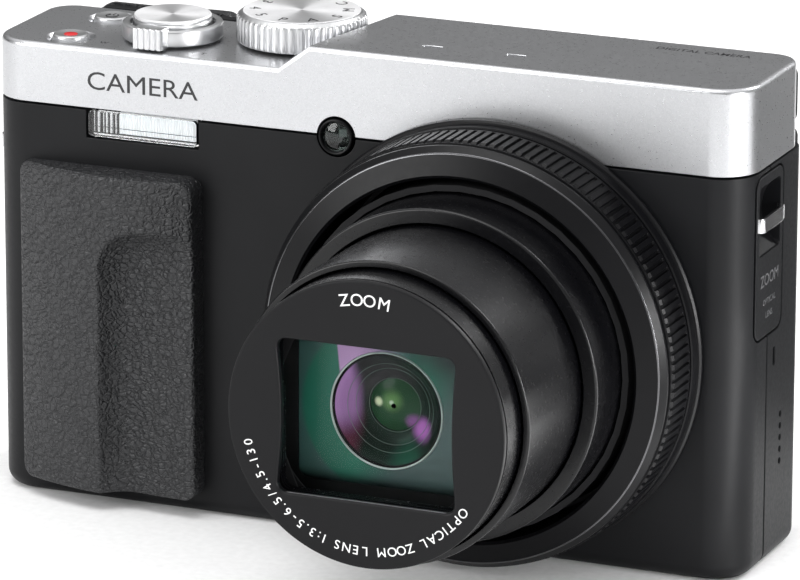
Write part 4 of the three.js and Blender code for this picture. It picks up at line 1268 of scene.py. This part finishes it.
def make_lamp(ring, glass, chrome, dark):
    """Focus lamp: bezel, domed lens, and a cup with its chip behind."""
    centre = (LAMP.cx, LAMP.cz)
    bezel = [(2.02, 3.0), (2.5, 3.0), (2.5, -0.1), (2.42, -0.28), (2.28, -0.34), (2.14, -0.28), (2.02, -0.05)]
    cup = [(0, 2.6), (0.5, 2.5), (1.0, 2.1), (1.5, 1.5), (1.95, 1.45), (1.95, 2.9), (0, 2.9)]
    radius, back = LAMP_LENS.radius, LAMP_LENS.back
    dome = [(radius, back), (radius, LAMP_LENS.rim), *crown(radius, LAMP_LENS.rim, LAMP_LENS.rise, 10),
            (0, back)]

    def behind_face(profile, segments):
        return lathe([(reach, FACE + depth) for reach, depth in profile], centre, "y", segments)

    add_piece("lamp_bezel", behind_face(bezel, 72), "body", ring, "focus_lamp_bezel", 25)
    add_piece("lamp_lens", behind_face(dome, 72), "body", glass, "focus_lamp_lens", 40)
    add_piece("lamp_cup", behind_face(cup, 48), "body", dark)
    half = 0.45
    chip = soft_block(LAMP.cx - half, LAMP.cx + half, FACE + 2.15, FACE + 2.5, LAMP.cz - half,
                      LAMP.cz + half, 0.1, 0.05)
    add_piece("lamp_chip", chip, "body", chrome)


# ---------------------------------------------------------------- top controls

LEVER = node_box("zoom_lever")
LEVER_CENTRE = (SHUTTER.cx, SHUTTER.cy)
LEVER_FOOT = 64.75
DIAL = SimpleNamespace(ribs=50, rib_height=0.35, low=64.8, letter_circle=6.45, marks="PASMC12345")
DIAL_RIB = ((0.0, 0), (0.14, 0.8), (0.32, 1), (0.56, 1), (0.74, 0.8), (0.88, 0))  # share of the pitch, height


def make_shutter(metal, satin):
    centre, top = LEVER_CENTRE, SHUTTER.z1
    stem = [(0, 60.3), (2.4, 60.3), (2.4, 65.5), (5.3, 65.5), (5.4, 65.6), (5.4, top - 0.75),
            (5.3, top - 0.62),
            (5.12, top - 0.6), (5.12, top - 0.5), (0, top - 0.5)]
    add_piece("shutter_stem", lathe(stem, centre, "z", 144), "shutter_button", satin,
              angle=30)
    cap = [(0, top - 0.5), (5.2, top - 0.5), (5.28, top - 0.4), (5.28, top - 0.16), (5.2, top - 0.05),
           (5.05, top),
           (4.9, top - 0.01), (2.5, top - 0.1), (0, top - 0.14)]
    add_piece("shutter_cap", lathe(cap, centre, "z", 144), "shutter_button", metal, "shutter_button",
              30, (*centre, top))


def make_zoom_lever(satin):
    ring = [(5.8, LEVER_FOOT), (6.7, LEVER_FOOT), (6.88, 64.9), (6.9, 65.1), (6.9, 66.6), (6.8, 66.86),
            (6.6, 66.98), (6.1, 67.0), (5.88, 66.9), (5.8, 66.75)]
    add_piece("lever_ring", lathe(ring, LEVER_CENTRE, "z", 128), "zoom_lever", satin, "zoom_lever",
              30, (*LEVER_CENTRE, 66))
    add_piece("lever_tab", lever_tab(*LEVER_CENTRE), "zoom_lever", satin, angle=20)


def lever_tab(x, y):
    """Finger tab of the lever: five upright ribs on its front, stepping down to the ring."""
    half, reach, ribs = 2.2, LEVER.y0, 5
    outline = [(x + half, y - 6.0), (x + half, reach + 0.55)]
    for i in range(ribs):
        start = x + half - i * 2 * half / ribs
        outline += [(start - across, reach + depth) for across, depth in
                    ((0.06, 0.3), (0.22, 0.04), (0.44, 0), (0.66, 0.04), (0.82, 0.3))]
    outline += [(x - half, reach + 0.55), (x - half, y - 6.0)]
    top = LEVER.z1
    mesh = prism(list(reversed(outline)), "z", LEVER_FOOT, top)
    top_edges = [edge for edge in mesh.edges if all(v.co.z > top - 0.01 for v in edge.verts)]
    bmesh.ops.bevel(mesh, geom=top_edges, offset=0.14, segments=2, profile=0.5, affect="EDGES")
    return mesh


def make_mode_dial(side_metal, top_metal, ink):
    centre = (MODE.cx, MODE.cy)
    low, high = DIAL.low, MODE.z1
    rows = [(8.2, 0, low), (8.55, 0, low + 0.02), (8.6, 0.55, low + 0.12), (8.6, 1, low + 0.45),
            (8.6, 1, high - 0.95),
            (8.6, 0.5, high - 0.62), (8.5, 0, high - 0.5), (8.3, 0, high - 0.24), (8.05, 0, high - 0.1)]
    knob = loft([[
        (*polar(centre, radius + DIAL.rib_height * rib * height, TAU * (i + share) / DIAL.ribs), z)
        for i in range(DIAL.ribs) for share, height in DIAL_RIB] for radius, rib, z in rows])
    stem = disc(2.3, centre, "z", 60.6, low + 0.1, 48)
    add_piece("dial_body", merged(knob, stem), "mode_dial", side_metal, "mode_dial", 35)
    plate = [(0, high - 0.3), (8.05, high - 0.3), (8.05, high - 0.08), (7.95, high - 0.02), (7.8, high),
             (3.0, high - 0.02), (0, high - 0.08)]
    add_piece("dial_top", lathe(plate, centre, "z", 144), "mode_dial", top_metal,
              angle=30,
              origin=(*centre, high))
    letters = []
    for i, mark in enumerate(DIAL.marks):
        angle = 360 * i / len(DIAL.marks) - 90
        letter = turned(turned(text_mesh(mark, 2.3, depth=0.04), -90, "X"), angle + 90, "Z")
        letters.append(moved(letter, (*polar(centre, DIAL.letter_circle, math.radians(angle)), high + 0.002)))
    add_piece("dial_marks", merged(*letters), "mode_dial", ink)


MARK_LOW, MARK_HIGH = 64.68, 64.8


def make_top_buttons(metal, red, ink):
    cap = [(0, 61.6), (2.4, 61.6), (2.55, 61.8), (2.55, 64.45), (2.45, 64.72), (2.2, 64.86), (1.7, 64.8),
           (1.1, 64.72),
           (0, 64.7)]
    for name, box, node in (("record_cap", RECORD, "record_button"), ("power_cap", POWER, "power_button")):
        centre = (box.cx, box.cy)
        add_piece(name, lathe(cap, centre, "z", 72), node, metal, node, 30, (*centre, 64))
    dot = lathe([(0, 64.6), (0.95, 64.6), (0.95, 64.76), (0.85, 64.82), (0, 64.85)], (RECORD.cx, RECORD.cy),
                "z", 40)
    add_piece("record_dot", dot, "record_button", red)
    arc = [(POWER.cx + r * math.sin(math.radians(a)), POWER.cy + r * math.cos(math.radians(a)))
           for r, sweep in ((0.95, range(40, 321, 20)), (0.75, range(320, 39, -20))) for a in sweep]
    bar = slab_box(POWER.cx - 0.09, POWER.cx + 0.09, POWER.cy + 0.35, POWER.cy + 1.15, MARK_LOW, MARK_HIGH)
    add_piece("power_mark", merged(prism(arc, "z", MARK_LOW, MARK_HIGH), bar), "power_button", ink)


def flat_text(text, size, place):
    """Lettering that lies on a level surface, read from the front."""
    return moved(turned(text_mesh(text, size, 0.01), -90, "X"), place)


FRONT_WORD = SimpleNamespace(x=-32.0, z=59.75, size=3.6, widen=1.18)


def make_top_marks(ink):
    low, high = RAMP.low, TOP.z1
    marks = [
        flat_text("W", 1.25, (SHUTTER.cx - 7.6, SHUTTER.cy - 6.0, low)),
        flat_text("T", 1.25, (SHUTTER.cx + 7.4, SHUTTER.cy - 6.3, low)),
        flat_text("DIGITAL CAMERA", 1.7, (42.2, FACE + 18.2, high)),
    ]
    add_piece("top_lettering", merged(*marks), "body", ink)
    word = moved(text_mesh("CAMERA", FRONT_WORD.size), (FRONT_WORD.x, FACE - 0.005, FRONT_WORD.z))
    middle = Matrix.Translation((-FRONT_WORD.x, 0, 0))
    bmesh.ops.scale(word, verts=word.verts, vec=(FRONT_WORD.widen, 1, 1), space=middle)
    add_piece("front_lettering", word, "body", ink)
    half = MIC.half + 0.05
    floors = [soft_block(x - half, x + half, MIC.front - 0.05, MIC.back + 0.05, high - 0.75, high - 0.55,
                         0.2, 0.05, "z")
              for x in MIC_PLACES]
    add_piece("mic_mesh", merged(*floors), "body", ink)


# ---------------------------------------------------------------- sides


STRAP = SimpleNamespace(pocket_low=44, pocket_high=53.5, floor=52.2, scoop_radius=5.9, scoop_out=3.2)
BAR = SimpleNamespace(out=0.9, root=2.2, bend=1.0, thick=0.5)


def make_strap_sides(paint, chrome):
    for plate, word in zip(STRAP_PLATES, ("right", "left")):
        side = 1 if plate.cx > 0 else -1
        block = soft_block(
            *side_span(plate, PLATE_DEPTH), plate.y0, plate.y1, plate.z0, plate.z1, PLATE_CORNER, 0.14, "x")
        mouth = rounded_outline(plate.y0 + 1.0, plate.y1 - 1.0, STRAP.pocket_low, STRAP.pocket_high, 0.7, 4)
        pocket = prism(mouth, "x", *sorted((side * STRAP.floor, side * 57)))
        middle = (side * (BODY.x1 + STRAP.scoop_out), (STRAP.pocket_low + STRAP.pocket_high) / 2)
        bowl = disc(STRAP.scoop_radius, middle, "y", plate.y0 + 0.5, plate.y1 - 0.5, 96)
        scooped = carve(block, combined(pocket, "INTERSECT", bowl))
        add_piece(f"strap_plate_{word}_side", bevelled(scooped, 0.08, 40), "body", paint,
                  f"strap_plate_{word}")
        lug_node = f"strap_lug_{word}"
        bar = strap_bar(node_box(lug_node), side)
        add_piece(f"strap_bar_{word}", bar, "body", chrome, lug_node, 25)


SIDE_WORDS = (("ZOOM", 2.3, 0.012, 40.3), ("OPTICAL", 1.2, 0.005, 37.3), ("LENS", 1.2, 0.005, 35.4))


def make_side_word(ink):
    """Three small generic words under the right strap slot."""
    place = (BODY.x1 + 0.003, STRAP_PLATES[0].cy + 0.2)
    lines = [moved(turned(text_mesh(word, size, weight), 90, "Z"), (*place, z))
             for word, size, weight, z in SIDE_WORDS]
    add_piece("side_lettering", merged(*lines), "body", ink)


def strap_bar(lug, side):
    """Flat strip that wraps out of the plate, round the front corner and back in."""
    reach, root = BODY.x1 + BAR.out, BODY.x1 - BAR.root
    bend, thick = BAR.bend, BAR.thick

    def corner(radius):
        return [(reach - bend + radius * math.sin(a), lug.y0 + bend - radius * math.cos(a))
                for a in quarter(6)]

    outer = [(root, lug.y0 + 0.4), *corner(bend), (reach, lug.y1 - 2.4), (reach - 0.25, lug.y1 - 1.0),
             (BODY.x1 - 0.1, lug.y1 - 0.1), (root, lug.y1)]
    inner = [(root, lug.y0 + 0.4 + thick), *corner(bend - thick), (reach - thick, lug.y1 - 2.5),
             (reach - 0.25 - thick, lug.y1 - 1.3), (BODY.x1 - 0.3 - thick, lug.y1 - 0.6),
             (root, lug.y1 - thick)]
    outline = [(side * x, y) for x, y in outer + list(reversed(inner))]
    return bevelled(prism(outline, "z", lug.z0, lug.z1), 0.12, 45, 2)


def make_ports(paint, ink):
    box = PORT_DOOR
    door = soft_block(box.x0, box.x1, box.y0, box.y1, box.z0, box.z1, 0.7, 0.14, "x")
    notch = disc(0.9, (box.x0 - 0.35, box.z0 + 1.2), "y", box.cy - 1.5, box.cy + 1.5, 32)
    add_piece("port_door", bevelled(carve(door, notch), 0.06, 45), "terminal_door", paint, "terminal_door")
    plug = [(box.cy - 1.1, 22.6), (box.cy + 1.1, 22.6), (box.cy + 0.7, 21.8), (box.cy - 0.7, 21.8)]
    arrow = [(box.cy, 26.2), (box.cy - 0.5, 25.2), (box.cy + 0.5, 25.2)]
    marks = [prism(outline, "x", box.x0 - 0.012, box.x0 + 0.05) for outline in (plug, arrow)]
    add_piece("port_marks", merged(*marks), "terminal_door", ink)


# ---------------------------------------------------------------- base


LATCH = node_box("battery_door_latch")
LATCH_ROOM = SimpleNamespace(open=1.9, shut=0.3, side=0.25, depth=0.95)
THREAD = SimpleNamespace(turns=9, pitch=0.55, crest=3.18, root=3.42, top=5.1)
SCREWS = ((-51.4, FACE + 12.8, 0.22), (28.0, FACE + 5.6, 0.02), (46.5, FACE + 15.2, 0.02))


def make_battery_door(paint, dark):
    box, latch = BATTERY_DOOR, LATCH
    door = soft_block(box.x0, box.x1, box.y0, box.y1, box.z0, box.z1, 1.2, 0.16, "z")
    room = rounded_outline(latch.x0 - LATCH_ROOM.open, latch.x1 + LATCH_ROOM.shut,
                           latch.y0 - LATCH_ROOM.side, latch.y1 + LATCH_ROOM.side, 0.6)
    well = prism(room, "z", -1, LATCH_ROOM.depth)
    first = latch.x1 + 1.2
    grooves = [slab_box(first, first + 2.7, box.cy - 2.2 + i * 1.1, box.cy - 1.8 + i * 1.1, -1, 0.32)
               for i in range(5)]
    add_piece("battery_hatch", bevelled(carve(door, well, *grooves), 0.07, 45), "battery_door", paint,
              "battery_door")
    slider = soft_block(latch.x0, latch.x1, latch.y0, latch.y1, latch.z0, latch.z1, 0.5, 0.12, "z")
    start = latch.cx - 1.35
    ribs = [slab_box(start + i * 0.6, start + 0.3 + i * 0.6, latch.y0 + 0.5, latch.y1 - 0.5, -1,
                     latch.z0 + 0.16)
            for i in range(5)]
    add_piece("hatch_slider", bevelled(carve(slider, *ribs), 0.04, 45), "battery_door_latch", dark,
              "battery_door_latch")


def make_tripod_thread(steel):
    profile = [(4.8, 0.02), (4.8, THREAD.top), (3.9, 5.8), (0, 5.8), (0, 5.2)]
    for i in range(THREAD.turns):
        z = THREAD.top - i * THREAD.pitch
        profile += [(THREAD.crest, z), (THREAD.root, z - THREAD.pitch / 2 + 0.005)]
    profile += [(THREAD.crest, 0.45), (3.5, 0.12), (3.7, 0.02)]
    insert = lathe(profile, (SOCKET.cx, SOCKET.cy), "z", 96)
    add_piece("tripod_thread", insert, "body", steel, "tripod_socket", 25)


def make_screws(steel):
    """Small cross-head screws in the base."""
    for index, (x, y, z) in enumerate(SCREWS):
        head = lathe([(0, z), (0.95, z), (1.15, z + 0.12), (1.15, z + 0.7), (0, z + 0.7)], (x, y), "z", 40)
        cross = [slab_box(x - a, x + a, y - b, y + b, -1, z + 0.32) for a, b in ((0.7, 0.13), (0.13, 0.7))]
        add_piece(f"base_screw_{index + 1}", carve(head, *cross), "body", steel)


# ---------------------------------------------------------------- rear

SCREEN = node_box("screen_frame")
SCREEN_GLASS = node_box("screen_glass")
MENU = node_box("menu_button")
SCREEN_TOP = 56.5
HINGE = SimpleNamespace(axis=(35.05, 56.9), places=(-9.5, 25.5), length=7, pin=0.42, radius=0.8)
FINGER_GRIP = SimpleNamespace(x=13.25, half=4, depth=0.9, height=0.8)


def grown_outline(box, across, up, radius):
    """Rounded opening in a face that looks along Y, larger than a box by two distances."""
    return rounded_outline(box.x0 - across, box.x1 + across, box.z0 - up, box.z1 + up, radius)


def make_screen(paint, glass, lit):
    back, pane, panel = SCREEN.y1, SCREEN_GLASS, node_box("lcd_panel")
    plate = soft_block(SCREEN.x0, SCREEN.x1, SCREEN.y0, back, SCREEN.z0, SCREEN_TOP, 1.5, 0.22)
    pocket = prism(grown_outline(pane, 0.12, 0.12, 1.0), "y", back - 0.75, back + 1)
    hollow = slab_box(panel.x0 - 0.1, panel.x1 + 0.1, panel.y0 - 0.1, back + 1, panel.z0 - 0.1,
                      panel.z1 + 0.1)
    finger = slab_box(FINGER_GRIP.x - FINGER_GRIP.half, FINGER_GRIP.x + FINGER_GRIP.half,
                      SCREEN.y0 - 1, SCREEN.y0 + FINGER_GRIP.depth, SCREEN.z0 - 1,
                      SCREEN.z0 + FINGER_GRIP.height)
    knuckles = [
        lathe([(HINGE.pin, x), (HINGE.radius, x + 0.05), (HINGE.radius, x + HINGE.length - 0.05),
               (HINGE.pin, x + HINGE.length)], HINGE.axis, "x", 32)
        for x in HINGE.places]
    housing = merged(bevelled(carve(plate, pocket, hollow, finger), 0.1, 45), *knuckles)
    add_piece("screen_housing", housing, "screen", paint, "screen_frame")
    front = soft_block(pane.x0, pane.x1, back - 0.72, back - 0.02, pane.z0, pane.z1, 0.9, 0.1)
    add_piece("screen_pane", front, "screen", glass, "screen_glass", 25)
    active = soft_block(panel.x0 + 0.6, panel.x1 - 0.6, panel.y0, panel.y1 + 0.2,
                        panel.z0 + 0.6, panel.z1 - 0.6, 0.2, 0.05)
    add_piece("screen_panel", active, "screen", lit, "lcd_panel")


def make_viewfinder(paint, rubber, glass, dark):
    lens, cup = node_box("viewfinder_lens"), node_box("viewfinder_eyecup")
    block = soft_block(EVF.x0, EVF.x1, EVF.y0 - 0.25, EVF.y1, EVF.z0, EVF.z1, 1.6, 0.18)
    tunnel = prism(grown_outline(lens, -0.2, -0.2, 0.9), "y", EVF.y0 + 0.35, EVF.y1 + 2)
    add_piece("finder_block", bevelled(carve(block, tunnel), 0.1, 45), "body", paint,
              "viewfinder_block")
    rim = soft_block(cup.x0, cup.x1, EVF.y1 - 0.02, cup.y1, cup.z0, cup.z1, 1.9, 0.34)
    inside = prism(grown_outline(lens, 0.6, 0.2, 1.1), "y", EVF.y0, cup.y1 + 1)
    add_piece("finder_eyecup", bevelled(carve(rim, inside), 0.22, 45, 3), "body", rubber,
              "viewfinder_eyecup")
    pane = soft_block(lens.x0 + 0.25, lens.x1 - 0.25, lens.y0 + 0.4, lens.y1 + 0.1,
                      lens.z0 + 0.25, lens.z1 - 0.25, 0.8, 0.12)
    add_piece("finder_window", pane, "body", glass, "viewfinder_lens")
    wheel = disc(1.5, (EVF.y1 - 0.7, 63.2), "x", EVF.x1 - 3.2, EVF.x1 - 2.0, 32)
    add_piece("finder_wheel", wheel, "body", dark, angle=20)


BUTTON_ROOT = 30.3
WHEEL = SimpleNamespace(teeth=96, notch=0.12, tick_circle=6.9, tick_radius=0.28)
REAR_MARKS = {  # outline on the button's face, right and up from its centre
    "playback": ((-0.6, -0.75), (0.85, 0), (-0.6, 0.75)),
    "display": ((-0.9, -0.6), (0.9, -0.6), (0.9, 0.6), (-0.9, 0.6)),
}


def rear_word(text, size, x, y, z):
    """Lettering that is read from behind the camera."""
    return moved(turned(text_mesh(text, size, 0.008), 180, "Z"), (x, y, z))


def make_command_wheel(ring, ink):
    dial, y = REAR_DIAL, REAR_DIAL.y1
    centre = (dial.cx, dial.cz)
    rows = [(4.75, 0, dial.y0), (9.0, 0, dial.y0), (9.2, 1, dial.y0 + 0.2), (9.2, 1, y - 0.6),
            (8.95, 1, y - 0.12),
            (8.6, 0, y), (5.1, 0, y - 0.25), (4.75, 0, y - 0.4)]
    loops = []
    for radius, toothed, depth in rows:
        around = [polar(centre, radius - WHEEL.notch * toothed * (i % 2), math.pi * i / WHEEL.teeth)
                  for i in range(2 * WHEEL.teeth)]
        loops.append([(x, depth, z) for x, z in around])
    add_piece("command_wheel", loft(loops, "looped"), "rear_dial", ring, "rear_dial", 25)
    ticks = [prism(circle(WHEEL.tick_radius, polar(centre, WHEEL.tick_circle, math.pi * i / 2), 20),
                   "y", y - 0.2, y - 0.08) for i in range(4)]
    add_piece("wheel_marks", merged(*ticks), "rear_dial", ink)


def make_rear_buttons(button, ink):
    centre, top = (MENU.cx, MENU.cz), MENU.y1
    cap = [(0, BUTTON_ROOT), (4.2, BUTTON_ROOT), (4.3, BUTTON_ROOT + 0.1), (4.3, top - 0.35),
           (4.05, top - 0.08),
           (3.7, top), (0, top - 0.12)]
    add_piece("menu_cap", lathe(cap, centre, "y", 96), "menu_button", button, "menu_button", 25)
    add_piece("menu_word", rear_word("MENU", 1.35, MENU.cx, top - 0.06, MENU.cz), "menu_button", ink)
    for node, box in REAR_BUTTONS.items():
        cap = [(0, BUTTON_ROOT), (2.6, BUTTON_ROOT), (2.7, BUTTON_ROOT + 0.1), (2.7, box.y1 - 0.3),
               (2.5, box.y1 - 0.06), (2.2, box.y1), (0, box.y1 - 0.1)]
        add_piece(node + "_cap", lathe(cap, (box.cx, box.cz), "y", 72), node, button, node, 25)
    for name, outline in REAR_MARKS.items():
        node = name + "_button"
        box = REAR_BUTTONS[node]
        mark = prism([(box.cx - u, box.cz + v) for u, v in outline], "y", box.y1 - 0.12, box.y1 + 0.002)
        add_piece(name + "_mark", mark, node, ink)
    box = REAR_BUTTONS["function_button"]
    add_piece("function_mark", rear_word("Fn", 1.6, box.cx, box.y1 - 0.02, box.cz), "function_button", ink)


# ---------------------------------------------------------------- inner parts keep their CAD shapes


def finish_nodes(material, *names):
    for name in names:
        for material_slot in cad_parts[name].material_slots:
            material_slot.material = material


make_camera()
make_studio()

silver = silver_paint()
black = black_paint()
leather = leatherette()
barrel_black = anodised("barrel_black", (0.0025, 0.0025, 0.0032), 0.25, 0.34)
face_black = anodised("face_black", (0.004, 0.004, 0.0048), 0.42, 0.2)
ring_black = anodised("ring_black", (0.0035, 0.0035, 0.0042), 0.34, 0.16)
matte_black = plain("matte_black", (0.004, 0.004, 0.0045), 0.6, 900, 0.15)
white_ink = plain("white_ink", (0.82, 0.82, 0.82), 0.5)
grey_ink = plain("grey_ink", (0.07, 0.07, 0.073), 0.5)
dark_ink = plain("dark_ink", (0.018, 0.018, 0.02), 0.45)
red_inlay = plain("red_inlay", (0.55, 0.012, 0.015), 0.3)
spun = turned_metal("spun_metal", (0.86, 0.86, 0.87), 0.5, 0.6)
satin = turned_metal("satin_metal", (0.66, 0.665, 0.675), 0.34)
chrome = turned_metal("chrome_strip", (0.6, 0.6, 0.61), 0.24)
dark_chrome = turned_metal("dark_chrome", (0.13, 0.13, 0.135), 0.24)
lip_metal = turned_metal("lip_metal", (0.26, 0.26, 0.265), 0.3)
dark_steel = turned_metal("dark_steel", (0.1, 0.1, 0.105), 0.42)
steel = brushed_metal("steel", (0.5, 0.5, 0.51), 0.32, (900, 900, 3500))
# Pale colours of the inner rim and its fine rings: the rings are real, their brightness is painted highlight.
bright_rim = plain("bright_rim", (0.62, 0.68, 0.66), 0.3)
dim_rim = plain("dim_rim", (0.2, 0.26, 0.23), 0.3, 900, 0.2)
clear = clear_plastic("clear_window", (0.99, 1.0, 1.0), 0.02)
glass = clear_plastic("front_glass", (0.96, 1.0, 0.99), 0.0, 1.1, 0.1)
teal = glass_reflection_cone()
deep = glass_reflection_rings()
green_glass = green_depth()
# The flash diffuser and the flash tube glow by emission: painted light, as no lamp is there.
diffuser = glowing_white("flash_diffuser", (0.93, 0.96, 0.98), 0.24)
screen_black = anodised("screen_glass", (0.002, 0.002, 0.0025), 0.07, 0.5)
lamp_glass = clear_plastic("lamp_glass", (0.35, 0.42, 0.4), 0.02, level=0.4)
rubber = plain("rubber", (0.01, 0.01, 0.011), 0.7, 900, 0.3)
inner_black = plain("inner_black", (0.012, 0.012, 0.013), 0.6, 900, 0.2)
board = plain("board_green", (0.01, 0.09, 0.04), 0.4)
label = plain("cell_label", (0.05, 0.06, 0.08), 0.4)

make_front_cover(black)
make_rear_cover(black)
make_top_cover(silver)
make_flange(ring_black)
make_control_ring(ring_black, dark_chrome)
make_barrels(barrel_black)
make_name_ring(face_black, white_ink, lip_metal)
make_field(teal, matte_black)
make_inner_rings(bright_rim, dim_rim, deep, green_glass, matte_black)
make_front_glass(glass, matte_black)
make_pads(leather)
make_flash_window(clear, diffuser, chrome, inner_black)
make_flash_mirror(chrome, diffuser)
make_lamp(ring_black, lamp_glass, lip_metal, matte_black)
make_shutter(spun, satin)
make_zoom_lever(satin)
make_mode_dial(satin, spun, dark_ink)
make_top_buttons(satin, red_inlay, dark_ink)
make_top_marks(dark_ink)
make_strap_sides(black, chrome)
make_side_word(grey_ink)
make_ports(black, grey_ink)
make_battery_door(black, matte_black)
make_tripod_thread(steel)
make_screws(steel)
make_screen(black, screen_black, inner_black)
make_viewfinder(black, rubber, screen_black, matte_black)
make_command_wheel(ring_black, white_ink)
make_rear_buttons(black, white_ink)

finish_nodes(barrel_black, "barrier_upper_main", "barrier_lower_main", "barrier_upper_side",
             "barrier_lower_side")
finish_nodes(inner_black, "lens_housing", "battery_compartment")
finish_nodes(steel, "zoom_motor", "zoom_pinion", "battery_door_pin", "usb_socket", "hdmi_socket")
finish_nodes(dark_steel, "screen_hinge_bracket", "screen_hinge_pin")
finish_nodes(label, "battery", "memory_card")
finish_nodes(board, "main_board")
finish_nodes(glass, "rear_lens_group", "image_sensor")
